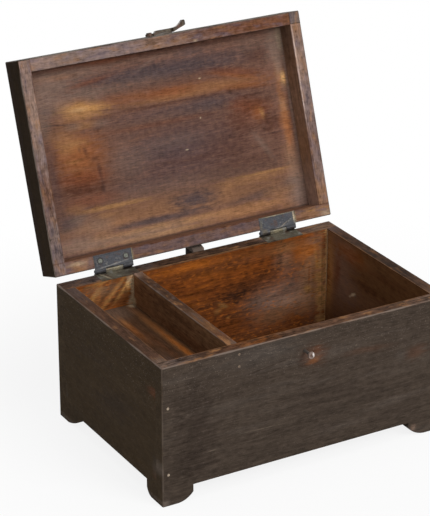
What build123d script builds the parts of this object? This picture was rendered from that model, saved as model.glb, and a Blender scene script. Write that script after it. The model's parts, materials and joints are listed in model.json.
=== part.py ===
from build123d import *
from math import cos, radians, sin, tan
import os

# A wooden spice box. Four boards stand on a bottom board with corner feet, a shallow till crosses the
# left end, and a tray lid of a panel and four rails turns on two butt hinges. A small cleat behind the
# back board stops the open lid, and a hook on the lid's front edge swings down over a stud to close it.
#
# Millimetres. The origin is the centre of the box's footprint, on the plane that the feet stand on.
# +X runs to the right seen from the front, +Y to the hinged back and +Z up. The lid stands open.

# ---------------------------------------------------------------- driving dimensions

# Carcase
box_w = 300.0           # outside, left to right
box_d = 203.0           # outside, front to back
wall_h = 114.5          # boards, above the bottom board
side_t = 12.0           # left and right side boards
front_t = 11.5          # front board
back_t = 15.5           # back board, thicker because it carries the hinges
bottom_t = 7.0
arris_r = 1.0           # rounding of the outer arrises of the carcase, the lid and the till's divider

# Feet: each profile is (length, height of its inner end's lower edge, length of the flat on the floor)
foot_h = 15.0
foot_sag = 2.0          # how far the curve of a profile bulges from its chord
foot_profiles = {
    "front_left": ((31.0, 8.0, 15.0), (29.5, 8.0, 21.0)),
    "front_right": ((39.0, 9.0, 21.0), (29.5, 8.0, 21.0)),
    "rear_left": ((31.0, 8.0, 15.0), (47.0, foot_h, 18.0)),
    "rear_right": ((31.0, 8.0, 15.0), (47.0, foot_h, 18.0)),
}

# Till
till_w = 60.5           # clear width inside, from the left side board to the divider
till_depth = 31.0       # from the rim to the till's floor
divider_t = 10.0
till_floor_t = 5.5
groove_d = 3.0          # housing of the till's floor in the boards
groove_play = 0.2       # room over the floor in its housing

# Lid
lid_side_over = 1.4     # beyond each side board
lid_front_over = 4.3    # beyond the front board
lid_back_in = 4.4       # short of the back board's face, with the lid shut
rail_w = 12.0
rail_h = 20.0
panel_t = 9.0
lid_gap = 1.2           # between the rim and the shut lid
open_angle = 109.0      # at which the lid rests on its stop

# Hinges
hinge_in = 60.0         # from the box's sides to the centre of each hinge
hinge_l = 40.0
leaf_t = 1.0
leaf_proud = 0.3        # lower leaf above the rim
knuckle_r = 1.9
knuckle_share = 0.45    # part of the hinge's length that the middle knuckle takes
knuckle_play = 0.25     # between knuckles, and round the middle one
pin_back = 3.4          # pin's axis behind the lid's rear face
pin_r = 0.9
pin_short = 0.5         # each end of the pin inside the outer knuckle's face
running_gap = 0.05      # round a pin or a pivot in its hole
leaf_play = 0.1         # at each end of a leaf in its mortise
lip_mortise_over = 1.1  # that the lid's mortises are cut too long at their right ends

# Latch
latch_x = -12.5         # pivot
latch_w = 3.0           # pivot's height over the lid's lip
hook_reach = 23.4       # pivot to stud, with the lid shut
hook_t = 4.5
hook_back = 0.4         # behind the hook, in front of the lid's edge
hook_w = 5.5
eye_r = 3.7
eye_t = 2.4
hook_tail = 16.1        # from the notch to the tip
tail_rise = 6.0         # outward lift of the tail's tip
tail_t = 4.4
tail_r = 3.6            # half the width of the rounded thumb piece
tail_angle = 45.0       # at which its outer face meets the tip
tail_bulge = 1.6        # of the tip's curve from its chord
notch_drop = 1.5        # notch's centre below the pivot's level, in the hook's own place
notch_play = 0.35       # round the stud in the notch
pivot_r = 1.3
pivot_head_r = 2.7
pivot_head_t = 1.2
pivot_head_round = 0.8
pivot_l = 10.0          # inside the lid's front rail
stud_x = -5.0
stud_r = 1.4
stud_in = 8.0           # inside the front board
stud_head_r = 3.2
stud_head_t = 1.8
stud_dish = 0.9         # depth of the hollow in the head
stud_dish_r = 1.6
stud_play = 1.0         # between the bar and the head, under which the tail begins to rise

# Lid stop
stop_x = 2.0
stop_w = 12.0
stop_d = 15.0
stop_h = 45.0           # below the rim
stop_lip = 1.8          # its front edge above the rim
stop_ridge = 7.0        # from its front to the ridge
stop_gap = 0.1          # to the open lid
stop_bevel = 5.0

# Nails, each kind with a shank and a head, and where they stand
wire_nail = {"shank_r": 0.8, "head_r": 1.25, "head_t": 0.8}
hinge_nail = {"shank_r": 1.1, "head_r": 2.1, "head_t": 0.9}
nail_gap = 0.05         # round a nail in its hole
corner_nail_l = 27.0
corner_nail_low = 9.0   # above the wall's lower edge
corner_nail_high = 40.0 # below the rim
divider_nail_l = 24.0
divider_nail_top = 5.2  # below the rim
divider_nail_step = 11.9
bottom_nail_l = 24.0
bottom_nail_in = 45.0   # from a corner, along the long sides
bottom_nail_side = 50.0 # from the middle, along the short sides
foot_nail_l = 20.0
foot_nail_in = 8.0      # from the foot's outer faces
stop_nail_l = 24.0
stop_nail_in = 13.5     # from each end of the stop
lid_nail_l = 22.0
lid_nail_in = 40.0      # from a corner, along the lid's edges
hinge_nail_l = 8.0
hinge_nail_x = 13.5     # from the hinge's centre
hinge_nail_proud = 0.2

# ---------------------------------------------------------------- derived sizes and places

front_y = -box_d / 2
back_y = box_d / 2
inner_x = box_w / 2 - side_t
inner_front_y = front_y + front_t
inner_back_y = back_y - back_t
inner_d = inner_back_y - inner_front_y
inner_mid_y = (inner_front_y + inner_back_y) / 2
floor_z = foot_h + bottom_t
rim_z = floor_z + wall_h
wall_mid_x = box_w / 2 - side_t / 2
front_mid_y = front_y + front_t / 2
back_mid_y = back_y - back_t / 2

divider_x = -inner_x + till_w + divider_t / 2
divider_right = divider_x + divider_t / 2
till_floor_top = rim_z - till_depth
till_floor_bottom = till_floor_top - till_floor_t
groove_end = -inner_x - groove_d

lid_w = box_w + 2 * lid_side_over
lid_d = box_d + lid_front_over - lid_back_in
lid_t = rail_h + panel_t
rail_x = lid_w / 2 - rail_w
front_rail_u = lid_d - rail_w

# The pin lies a knuckle's radius over the lid's lip, so that the upper leaf runs straight into its knuckle.
pin_y = back_y - lid_back_in + pin_back
pin_z = rim_z + lid_gap + knuckle_r
hinge_x = box_w / 2 - hinge_in
knuckle_l = hinge_l * knuckle_share
leaf_bottom = rim_z + leaf_proud - leaf_t
mortise_l = hinge_l + 2 * leaf_play

# Directions of the open lid: its depth runs from the hinges to the front edge, its height from the lip up.
swing = radians(open_angle)
depth_dir = Vector(0, -cos(swing), sin(swing))
height_dir = Vector(0, sin(swing), cos(swing))
lid_corner = Vector(0, pin_y, pin_z) + depth_dir * pin_back - height_dir * knuckle_r

# Places on the lid are (x, depth) on its lip plane, whose normal points into the open tray's view.
lip_plane = Plane(origin=lid_corner, x_dir=(1, 0, 0), z_dir=-height_dir)
lid_top_plane = Plane(origin=lid_corner + height_dir * lid_t, x_dir=(-1, 0, 0), z_dir=height_dir)
lid_edge_plane = Plane(origin=lid_corner + depth_dir * lid_d, x_dir=(1, 0, 0), z_dir=depth_dir)
front_plane = Plane(origin=(0, front_y, 0), x_dir=(1, 0, 0), z_dir=(0, -1, 0))
back_plane = Plane(origin=(0, back_y, 0), x_dir=(-1, 0, 0), z_dir=(0, 1, 0))
under_plane = Plane(origin=(0, 0, foot_h), x_dir=(1, 0, 0), z_dir=(0, 0, -1))
rim_plane = Plane.XY.offset(rim_z)
touching = 0.001        # how near to a face an edge counts as on it


def lid_section(x):
    """Plane across the lid at x: its coordinates are (depth, height over the lip), and it faces left."""
    return Plane(origin=lid_corner + Vector(x, 0, 0), x_dir=depth_dir, z_dir=(-1, 0, 0))


def board(plane, x_range, y_range, thickness):
    """A rectangular board on a plane, between two corners, growing along the plane's normal."""
    with BuildSketch(plane) as outline:
        with Locations(((x_range[0] + x_range[1]) / 2, (y_range[0] + y_range[1]) / 2)):
            Rectangle(x_range[1] - x_range[0], y_range[1] - y_range[0])
    extrude(outline.sketch, amount=thickness)


def drive(plane, points, length, nail, proud=0.0, gap=0.0, mode=Mode.ADD):
    """Nails at points of a surface, in against its normal. With a gap they are the holes for them."""
    with BuildSketch(plane.offset(proud)) as heads:
        with Locations(*points):
            Circle(nail["head_r"] + gap)
    extrude(heads.sketch, amount=-(nail["head_t"] + proud), mode=mode)
    with BuildSketch(plane.offset(-nail["head_t"])) as shanks:
        with Locations(*points):
            Circle(nail["shank_r"] + gap)
    extrude(shanks.sketch, amount=-(length - nail["head_t"] + gap), mode=mode)


def nail_holes(*groups):
    """Holes for groups of nails, each group a tuple of (plane, points, length, kind of nail)."""
    for plane, points, length, nail in groups:
        drive(plane, points, length, nail, gap=nail_gap, mode=Mode.SUBTRACT)


def soften(piece, plane, low, high):
    """Round the edges of a piece that lie on two faces of a box, whose corners are in the plane's terms."""

    def is_outer(edge):
        place = plane.to_local_coords(edge.center())
        gaps = [min(abs(at - least), abs(at - most)) for at, least, most in zip(place, low, high)]
        return sum(gap < touching for gap in gaps) >= 2

    fillet(piece.edges().filter_by(is_outer), arris_r)


def soften_carcase(piece):
    """Round the outer arrises of a piece of the carcase, at its corners and its rim."""
    soften(piece, Plane.XY, (-box_w / 2, front_y, -foot_h), (box_w / 2, back_y, rim_z))


def soften_lid(piece):
    """Round the outer arrises of a piece of the lid."""
    soften(piece, lip_plane, (-lid_w / 2, 0, -lid_t), (lid_w / 2, lid_d, 0))


def save(piece, name):
    """Label a finished piece and write it under the same name."""
    piece.part.label = name
    export_step(piece.part, f"parts/{name}.step")


# Groups of nails, shared by the pieces that they pass through
corner_heights = (floor_z + corner_nail_low, rim_z - corner_nail_high)
corner_points = [(x, z) for x in (-wall_mid_x, wall_mid_x) for z in corner_heights]
front_corners = (front_plane, corner_points, corner_nail_l, wire_nail)
back_corners = (back_plane, corner_points, corner_nail_l, wire_nail)

divider_heights = (rim_z - divider_nail_top, rim_z - divider_nail_top - divider_nail_step)
front_divider = (front_plane, [(divider_x, z) for z in divider_heights], divider_nail_l, wire_nail)
back_divider = (back_plane, [(-divider_x, z) for z in divider_heights], divider_nail_l, wire_nail)

long_xs = (bottom_nail_in - box_w / 2, 0.0, box_w / 2 - bottom_nail_in)
bottom_points = [(x, y) for x in long_xs for y in (-back_mid_y, -front_mid_y)]
bottom_points += [(x, y) for x in (-wall_mid_x, wall_mid_x) for y in (-bottom_nail_side, bottom_nail_side)]
bottom_group = (under_plane, bottom_points, bottom_nail_l, wire_nail)

stop_heights = (rim_z - stop_nail_in, rim_z - stop_h + stop_nail_in)
stop_group = (back_plane.offset(stop_d), [(-stop_x, z) for z in stop_heights], stop_nail_l, wire_nail)

foot_inset = foot_nail_in + wire_nail["head_r"]
foot_xs = (foot_inset - box_w / 2, box_w / 2 - foot_inset)
foot_ys = (foot_inset - box_d / 2, box_d / 2 - foot_inset)
foot_plane = Plane(origin=(0, 0, 0), x_dir=(1, 0, 0), z_dir=(0, 0, -1))
foot_group = (foot_plane, [(x, y) for x in foot_xs for y in foot_ys], foot_nail_l, wire_nail)

lid_nail_xs = (lid_nail_in - lid_w / 2, 0.0, lid_w / 2 - lid_nail_in)
lid_points = [(x, u) for x in lid_nail_xs for u in (rail_w / 2, lid_d - rail_w / 2)]
lid_points += [(x, lid_d / 2) for x in (-lid_w / 2 + rail_w / 2, lid_w / 2 - rail_w / 2)]
lid_group = (lid_top_plane, lid_points, lid_nail_l, wire_nail)

hinge_centres = {"left": -hinge_x, "right": hinge_x}


def hinge_points(centre, across):
    """Places of a leaf's two nails, at a distance across the leaf."""
    return [(centre - hinge_nail_x, across), (centre + hinge_nail_x, across)]


rim_leaf_groups = {
    side: (rim_plane.offset(leaf_proud), hinge_points(x, back_mid_y), hinge_nail_l, hinge_nail)
    for side, x in hinge_centres.items()
}
lip_leaf_groups = {
    side: (lip_plane, hinge_points(x, rail_w / 2), hinge_nail_l, hinge_nail)
    for side, x in hinge_centres.items()
}

os.makedirs("parts", exist_ok=True)

# ---------------------------------------------------------------- carcase

with BuildPart() as bottom_board:
    board(Plane.XY.offset(foot_h), (-box_w / 2, box_w / 2), (front_y, back_y), bottom_t)
    soften_carcase(bottom_board)
    nail_holes(bottom_group, foot_group)
save(bottom_board, "bottom_board")

# The stud of the latch is driven into the front board.
stud_height = pin_z - knuckle_r + latch_w - (hook_reach**2 - (stud_x - latch_x) ** 2) ** 0.5

with BuildPart() as front_board:
    board(Plane.XY.offset(floor_z), (-box_w / 2, box_w / 2), (front_y, inner_front_y), wall_h)
    soften_carcase(front_board)
    with BuildSketch(Plane.XY.offset(till_floor_bottom)):
        with Locations(((divider_right + groove_end) / 2, inner_front_y)):
            Rectangle(divider_right - groove_end, 2 * groove_d)
    extrude(amount=till_floor_t + groove_play, mode=Mode.SUBTRACT)
    nail_holes(front_corners, front_divider, bottom_group)
    with BuildSketch(front_plane):
        with Locations((stud_x, stud_height)):
            Circle(stud_r + nail_gap)
    extrude(amount=-(stud_in + nail_gap), mode=Mode.SUBTRACT)
save(front_board, "front_board")

with BuildPart() as back_board:
    board(Plane.XY.offset(floor_z), (-box_w / 2, box_w / 2), (inner_back_y, back_y), wall_h)
    soften_carcase(back_board)
    with BuildSketch(Plane.XY.offset(till_floor_bottom)):
        with Locations(((divider_right + groove_end) / 2, inner_back_y)):
            Rectangle(divider_right - groove_end, 2 * groove_d)
    extrude(amount=till_floor_t + groove_play, mode=Mode.SUBTRACT)
    # Mortises for the lower leaves run across the whole thickness.
    with BuildSketch(Plane.XY.offset(leaf_bottom)):
        with Locations((-hinge_x, back_mid_y), (hinge_x, back_mid_y)):
            Rectangle(mortise_l, back_t)
    extrude(amount=leaf_t, mode=Mode.SUBTRACT)
    nail_holes(back_corners, back_divider, bottom_group, *rim_leaf_groups.values())
    nail_holes(stop_group)
save(back_board, "back_board")

for side, outer in (("left", -1), ("right", 1)):
    near, far = sorted((outer * inner_x, outer * box_w / 2))
    with BuildPart() as side_board:
        board(Plane.XY.offset(floor_z), (near, far), (inner_front_y, inner_back_y), wall_h)
        soften_carcase(side_board)
        if side == "left":
            # The till's floor is housed along the whole inside of the left board.
            with BuildSketch(Plane.XY.offset(till_floor_bottom)):
                with Locations((-inner_x, inner_mid_y)):
                    Rectangle(2 * groove_d, inner_d)
            extrude(amount=till_floor_t + groove_play, mode=Mode.SUBTRACT)
        nail_holes(front_corners, back_corners, bottom_group)
    save(side_board, f"{side}_side_board")

# ---------------------------------------------------------------- feet


def foot_face(profile):
    """Outline of a foot from its corner inwards: flat on the floor, a bulging curve and the inner end."""
    length, end_z, flat = profile
    with BuildLine() as outline:
        Polyline((flat, 0), (0, 0), (0, foot_h), (length, foot_h))
        if end_z < foot_h:
            Line((length, foot_h), (length, end_z))
        SagittaArc((length, end_z), (flat, 0), foot_sag)
    make_face(outline.edges())


for corner, (along_x, along_y) in foot_profiles.items():
    out_x = -1 if corner.endswith("left") else 1
    out_y = -1 if corner.startswith("front") else 1
    corner_at = (out_x * box_w / 2, out_y * box_d / 2, 0)
    # One profile shows on the front or back, the other on the side, and the block is what both share.
    face_x = Plane(origin=corner_at, x_dir=(-out_x, 0, 0), z_dir=(0, out_x, 0))
    face_y = Plane(origin=corner_at, x_dir=(0, -out_y, 0), z_dir=(-out_y, 0, 0))
    with BuildPart() as foot:
        with BuildSketch(face_x):
            foot_face(along_x)
        extrude(amount=2 * along_y[0], both=True)
        with BuildSketch(face_y):
            foot_face(along_y)
        extrude(amount=2 * along_x[0], both=True, mode=Mode.INTERSECT)
        soften_carcase(foot)
        nail_holes(foot_group)
    save(foot, f"foot_{corner}")

# ---------------------------------------------------------------- till

with BuildPart() as till_floor:
    board(
        Plane.XY.offset(till_floor_bottom),
        (groove_end, divider_right),
        (inner_front_y - groove_d, inner_back_y + groove_d),
        till_floor_t,
    )
save(till_floor, "till_floor")

with BuildPart() as till_divider:
    divider_left = divider_right - divider_t
    board(
        Plane.XY.offset(till_floor_top),
        (divider_left, divider_right),
        (inner_front_y, inner_back_y),
        till_depth,
    )
    fillet(till_divider.edges().filter_by(Axis.Y).group_by(Axis.Z)[-1], arris_r)
    nail_holes(front_divider, back_divider)
save(till_divider, "till_divider")

# ---------------------------------------------------------------- lid


def rail(x_range, depth_range):
    """A rail of the lid's tray, from the lip up to the panel."""
    board(lip_plane, x_range, depth_range, -rail_h)


def leaf_mortises():
    """Recesses of the upper leaves in the rear rail, through its whole width."""
    with BuildSketch(lip_plane) as recesses:
        with Locations(*[(x + lip_mortise_over / 2, rail_w / 2) for x in (-hinge_x, hinge_x)]):
            Rectangle(mortise_l + lip_mortise_over, rail_w)
    extrude(recesses.sketch, amount=-leaf_t, mode=Mode.SUBTRACT)


with BuildPart() as lid_panel:
    board(lip_plane.offset(-rail_h), (-lid_w / 2, lid_w / 2), (0, lid_d), -panel_t)
    soften_lid(lid_panel)
    nail_holes(lid_group)
save(lid_panel, "lid_panel")

# The left rail runs the whole depth. On the right the rear rail runs out to the corner, and a block of
# its own fills the front corner.
with BuildPart() as lid_left_rail:
    rail((-lid_w / 2, -rail_x), (0, lid_d))
    soften_lid(lid_left_rail)
    nail_holes(lid_group)
save(lid_left_rail, "lid_left_rail")

with BuildPart() as lid_rear_rail:
    rail((-rail_x, lid_w / 2), (0, rail_w))
    soften_lid(lid_rear_rail)
    leaf_mortises()
    nail_holes(lid_group, *lip_leaf_groups.values())
save(lid_rear_rail, "lid_rear_rail")

with BuildPart() as lid_front_rail:
    rail((-rail_x, rail_x), (front_rail_u, lid_d))
    soften_lid(lid_front_rail)
    nail_holes(lid_group)
    with BuildSketch(lid_edge_plane):
        with Locations((latch_x, latch_w)):
            Circle(pivot_r + nail_gap)
    extrude(amount=-(pivot_l + nail_gap), mode=Mode.SUBTRACT)
save(lid_front_rail, "lid_front_rail")

with BuildPart() as lid_right_rail:
    rail((rail_x, lid_w / 2), (rail_w, front_rail_u))
    soften_lid(lid_right_rail)
    nail_holes(lid_group)
save(lid_right_rail, "lid_right_rail")

with BuildPart() as lid_corner_block:
    rail((rail_x, lid_w / 2), (front_rail_u, lid_d))
    soften_lid(lid_corner_block)
save(lid_corner_block, "lid_corner_block")

# ---------------------------------------------------------------- hinges

outer_knuckle_l = (hinge_l - knuckle_l) / 2 - knuckle_play
leaf_back = pin_back - knuckle_r - knuckle_play     # upper leaf behind the rail

for side, centre in hinge_centres.items():
    start_x = centre - hinge_l / 2
    pin_plane = Plane(origin=(start_x, pin_y, pin_z), x_dir=(0, 1, 0), z_dir=(1, 0, 0))

    with BuildPart() as lower_leaf:
        # The leaf runs on behind the board, under all three knuckles.
        leaf_ys = (inner_back_y, pin_y + knuckle_r)
        board(Plane.XY.offset(leaf_bottom), (start_x, start_x + hinge_l), leaf_ys, leaf_t)
        # The middle knuckle: the leaf is turned up and rolled round the pin.
        with BuildSketch(Plane.YZ.offset(centre - knuckle_l / 2)):
            with Locations((pin_y, (leaf_bottom + pin_z) / 2)):
                Rectangle(2 * knuckle_r, pin_z - leaf_bottom)
            with Locations((pin_y, pin_z)):
                Circle(knuckle_r)
        extrude(amount=knuckle_l)
        with BuildSketch(pin_plane):
            Circle(pin_r + running_gap)
        extrude(amount=hinge_l, mode=Mode.SUBTRACT)
        nail_holes(rim_leaf_groups[side])
    save(lower_leaf, f"hinge_{side}_lower_leaf")

    with BuildPart() as upper_leaf:
        board(lip_plane, (start_x, start_x + hinge_l), (-leaf_back, rail_w), -leaf_t)
        # The outer knuckles: the leaf runs on behind the rail and rolls round the pin.
        for knuckle_x in (start_x + outer_knuckle_l, start_x + hinge_l):
            with BuildSketch(lid_section(knuckle_x)):
                with Locations((-pin_back / 2, leaf_t / 2)):
                    Rectangle(pin_back, leaf_t)
                with Locations((-pin_back, knuckle_r)):
                    Circle(knuckle_r)
            extrude(amount=outer_knuckle_l)
        with BuildSketch(pin_plane):
            Circle(pin_r + running_gap)
        extrude(amount=hinge_l, mode=Mode.SUBTRACT)
        nail_holes(lip_leaf_groups[side])
    save(upper_leaf, f"hinge_{side}_upper_leaf")

    with BuildPart() as pin:
        with BuildSketch(pin_plane.offset(pin_short)):
            Circle(pin_r)
        extrude(amount=hinge_l - 2 * pin_short)
    save(pin, f"hinge_{side}_pin")

    with BuildPart() as rim_nails:
        drive(*rim_leaf_groups[side])
    save(rim_nails, f"hinge_{side}_rim_nails")

    with BuildPart() as lip_nails:
        drive(*lip_leaf_groups[side], proud=hinge_nail_proud)
    save(lip_nails, f"hinge_{side}_lip_nails")

# ---------------------------------------------------------------- lid stop

# Its top slopes with the rear face of the open lid, which lies on it.
lid_slope = tan(swing - radians(90))
ridge_y = back_y + stop_ridge


def under_lid(y):
    """Height of the open lid's rear face over y, less the stop's gap."""
    return lid_corner.Z - (y - lid_corner.Y) * lid_slope - stop_gap


with BuildPart() as lid_stop:
    with BuildSketch(Plane.YZ.offset(stop_x - stop_w / 2)):
        with BuildLine():
            Polyline(
                (back_y, rim_z - stop_h),
                (back_y, rim_z + stop_lip),
                (ridge_y, under_lid(ridge_y)),
                (back_y + stop_d, under_lid(back_y + stop_d)),
                (back_y + stop_d, rim_z - stop_h + stop_bevel),
                (back_y + stop_d - stop_bevel, rim_z - stop_h),
                close=True,
            )
        make_face()
    extrude(amount=stop_w)
    nail_holes(stop_group)
save(lid_stop, "lid_stop")

# ---------------------------------------------------------------- latch

notch_x = latch_x + (hook_reach**2 - notch_drop**2) ** 0.5
notch_w = latch_w - notch_drop
notch_r = stud_r + notch_play
tip_x = notch_x + hook_tail
hook_low = latch_w - hook_w / 2
hook_high = hook_low + hook_w
hook_face = lid_edge_plane.offset(hook_back)

with BuildPart() as latch_hook:
    # Seen along the pivot: an eye, a straight bar and a rounded thumb piece.
    with BuildSketch(hook_face):
        with Locations((latch_x, latch_w)):
            Circle(eye_r)
        with Locations(((latch_x + tip_x) / 2, latch_w)):
            Rectangle(tip_x - latch_x - 2 * tail_r, hook_w)
        with Locations((tip_x - tail_r, latch_w)):
            Circle(tail_r)
    extrude(amount=hook_back + hook_t + tail_rise + tail_t)
    # Seen along the lid's height: thin at the eye, thick in the bar, and its tail turned outwards.
    with BuildSketch(lip_plane.offset(eye_r)):
        with BuildLine():
            base = lid_d + hook_back
            Polyline(
                (notch_x, base),
                (latch_x - eye_r, base),
                (latch_x - eye_r, base + eye_t),
                (latch_x + eye_r, base + eye_t),
            )
            Spline(
                (latch_x + eye_r, base + eye_t),
                (latch_x + 2 * eye_r, base + hook_t),
                tangents=((1, 0), (1, 0)),
            )
            Line((latch_x + 2 * eye_r, base + hook_t), (notch_x, base + hook_t))
            Spline(
                (notch_x, base + hook_t),
                (tip_x - tail_r, base + tail_rise + tail_t),
                tangents=((1, 0), (cos(radians(tail_angle)), sin(radians(tail_angle)))),
            )
            SagittaArc((tip_x - tail_r, base + tail_rise + tail_t), (tip_x, base + tail_rise), tail_bulge)
            Line((tip_x, base + tail_rise), (notch_x, base))
        make_face()
    extrude(amount=-(2 * eye_r), mode=Mode.INTERSECT)
    with BuildSketch(hook_face):
        with Locations((latch_x, latch_w)):
            Circle(pivot_r + running_gap)
        with Locations((notch_x, notch_w)):
            Circle(notch_r)
        with Locations((notch_x, notch_w - hook_w / 2)):
            Rectangle(2 * notch_r, hook_w)
    extrude(amount=hook_t + tail_rise, mode=Mode.SUBTRACT)
save(latch_hook, "latch_hook")

pivot_plane = lid_edge_plane.offset(hook_back + eye_t + running_gap)
with BuildPart() as latch_pivot:
    with BuildSketch(lid_edge_plane.offset(-pivot_l)):
        with Locations((latch_x, latch_w)):
            Circle(pivot_r)
    extrude(amount=pivot_l + hook_back + eye_t + running_gap + pivot_head_t)
    with BuildSketch(pivot_plane):
        with Locations((latch_x, latch_w)):
            Circle(pivot_head_r)
    extrude(amount=pivot_head_t)
    outermost = latch_pivot.faces().sort_by(lambda face: face.center().dot(depth_dir))[-1]
    fillet(outermost.edges(), pivot_head_round)
save(latch_pivot, "latch_pivot")

# The stud stands out far enough for its head to pass in front of the hanging hook.
stud_out = lid_front_over + hook_back + hook_t + stud_play
with BuildPart() as latch_stud:
    with BuildSketch(front_plane.offset(-stud_in)):
        with Locations((stud_x, stud_height)):
            Circle(stud_r)
    extrude(amount=stud_in + stud_out)
    with BuildSketch(front_plane.offset(stud_out)):
        with Locations((stud_x, stud_height)):
            Circle(stud_head_r)
    extrude(amount=stud_head_t)
    with BuildSketch(front_plane.offset(stud_out + stud_head_t)):
        with Locations((stud_x, stud_height)):
            Circle(stud_dish_r)
    extrude(amount=-stud_dish, mode=Mode.SUBTRACT)
save(latch_stud, "latch_stud")

# ---------------------------------------------------------------- nails

with BuildPart() as corner_nails:
    drive(*front_corners)
    drive(*back_corners)
save(corner_nails, "corner_nails")

with BuildPart() as divider_nails:
    drive(*front_divider)
    drive(*back_divider)
save(divider_nails, "divider_nails")

for group, name in (
    (bottom_group, "bottom_nails"),
    (foot_group, "foot_nails"),
    (stop_group, "stop_nails"),
    (lid_group, "lid_nails"),
):
    with BuildPart() as nails:
        drive(*group)
    save(nails, name)
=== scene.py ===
import json
from math import cos, radians, sin

import bpy
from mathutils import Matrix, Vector


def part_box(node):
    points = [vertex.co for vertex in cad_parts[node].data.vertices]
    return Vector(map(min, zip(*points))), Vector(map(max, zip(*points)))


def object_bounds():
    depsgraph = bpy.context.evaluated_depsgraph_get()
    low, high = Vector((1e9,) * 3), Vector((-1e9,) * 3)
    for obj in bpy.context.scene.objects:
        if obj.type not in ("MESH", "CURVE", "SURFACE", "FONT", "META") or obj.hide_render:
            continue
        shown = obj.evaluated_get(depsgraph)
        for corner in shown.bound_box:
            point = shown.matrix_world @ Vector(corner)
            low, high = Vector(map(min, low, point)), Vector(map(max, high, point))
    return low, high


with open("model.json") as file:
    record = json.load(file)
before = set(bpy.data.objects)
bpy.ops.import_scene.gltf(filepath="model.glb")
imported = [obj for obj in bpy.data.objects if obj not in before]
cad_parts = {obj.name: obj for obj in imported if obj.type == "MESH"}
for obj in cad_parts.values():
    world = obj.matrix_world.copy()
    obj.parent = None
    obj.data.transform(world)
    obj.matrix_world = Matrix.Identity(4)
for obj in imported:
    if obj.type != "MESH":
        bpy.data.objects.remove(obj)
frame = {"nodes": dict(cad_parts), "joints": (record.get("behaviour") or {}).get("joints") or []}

# The looks of a small wooden spice box: worn, dark stained boards, an orange brown inside, a lid whose
# underside is streaked with gold, slate grey hinges, and a hook with its stud. Metres, in the frame of
# the solids. Materials measure in millimetres along their own board.

nodes = frame["nodes"]
cad_low, cad_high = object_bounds()

# ---------------------------------------------------------------- places, from the frame

MM = 1000.0
front_low, front_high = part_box("front_board")
side_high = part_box("left_side_board")[1]
half_w = front_high.x * MM
half_d = -front_low.y * MM
rim_z = front_high.z * MM
inner_x = -side_high.x * MM
inner_front_y = front_high.y * MM
inner_back_y = side_high.y * MM
divider_low, divider_high = [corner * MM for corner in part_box("till_divider")]

joint = {j["name"]: j for j in frame["joints"]}
open_angle = radians(joint["lid_hinge"]["range_deg"][1])
across_lid = Vector((1, 0, 0))
depth_dir = Vector((0, -cos(open_angle), sin(open_angle)))
height_dir = Vector((0, sin(open_angle), cos(open_angle)))


def lid_extent(node, direction):
    """Lowest and highest place of a node's vertices along a direction of the open lid, in metres."""
    places = [vertex.co.dot(direction) for vertex in nodes[node].data.vertices]
    return min(places), max(places)


lid_rear, lid_front = lid_extent("lid_left_rail", depth_dir)
lid_lip, lid_under = lid_extent("lid_left_rail", height_dir)
lid_top = lid_extent("lid_panel", height_dir)[1]
lid_corner = depth_dir * lid_rear + height_dir * lid_lip
lid_half_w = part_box("lid_left_rail")[0].x * -MM
lid_d = (lid_front - lid_rear) * MM
lid_t = (lid_top - lid_lip) * MM
rail_h = (lid_under - lid_lip) * MM
rail_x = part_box("lid_left_rail")[1].x * -MM
rail_w = lid_half_w - rail_x
hinge_x = sum(corner.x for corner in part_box("hinge_right_pin")) / 2 * MM

# ---------------------------------------------------------------- materials: a small language of fields

RELIEF = 0.6            # strength of the bump
RELIEF_DEPTH = 0.0001   # metres
WAVE = 3.0              # how far the grain wanders at most, in millimetres
TOP_FADE = (1.2, 0.4)   # depths under a rim or lip at which its tone begins and is full, in millimetres
SIDE_FADE = (1.1, 0.5)  # the same, under an outer side
WEAR_REACH = 1.2        # how far from an edge it is rubbed, in millimetres
LEVEL = 1.02            # what a board's colour is multiplied by, before its figure


def screen(red, green, blue):
    """A colour as a screen shows it, 0 to 255, as the linear colour that a shader takes."""

    def linear(level):
        level /= 255
        return level / 12.92 if level <= 0.04045 else ((level + 0.055) / 1.055) ** 2.4

    return (linear(red), linear(green), linear(blue), 1.0)


def new_node(tree, kind, **settings):
    """Add a node to a tree, with its settings."""
    made = tree.nodes.new(kind)
    for name, value in settings.items():
        setattr(made, name, value)
    return made


class Field:
    """A number that varies over a surface. Arithmetic on it makes Math nodes."""

    def __init__(self, paint, socket):
        self.paint = paint
        self.socket = socket

    def math(self, operation, other=0.0):
        node = self.paint.node("ShaderNodeMath", operation=operation)
        self.paint.feed(node.inputs[0], self)
        self.paint.feed(node.inputs[1], other)
        return Field(self.paint, node.outputs[0])

    def __add__(self, other):
        return self.math("ADD", other)

    def __sub__(self, other):
        return self.math("SUBTRACT", other)

    def __rsub__(self, other):
        return (self * -1.0) + other

    def __mul__(self, other):
        return self.math("MULTIPLY", other)

    def __abs__(self):
        return self.math("ABSOLUTE")

    def least(self, other):
        return self.math("MINIMUM", other)

    def most(self, other):
        return self.math("MAXIMUM", other)

    def rise(self, start, end):
        """0 before start, 1 after end and smooth between them. With end below start it falls instead."""
        node = self.paint.node("ShaderNodeMapRange", interpolation_type="SMOOTHSTEP")
        flip = end < start
        self.paint.feed(node.inputs["Value"], self)
        node.inputs["From Min"].default_value = min(start, end)
        node.inputs["From Max"].default_value = max(start, end)
        node.inputs["To Min"].default_value = 1.0 if flip else 0.0
        node.inputs["To Max"].default_value = 0.0 if flip else 1.0
        return Field(self.paint, node.outputs["Result"])


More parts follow.
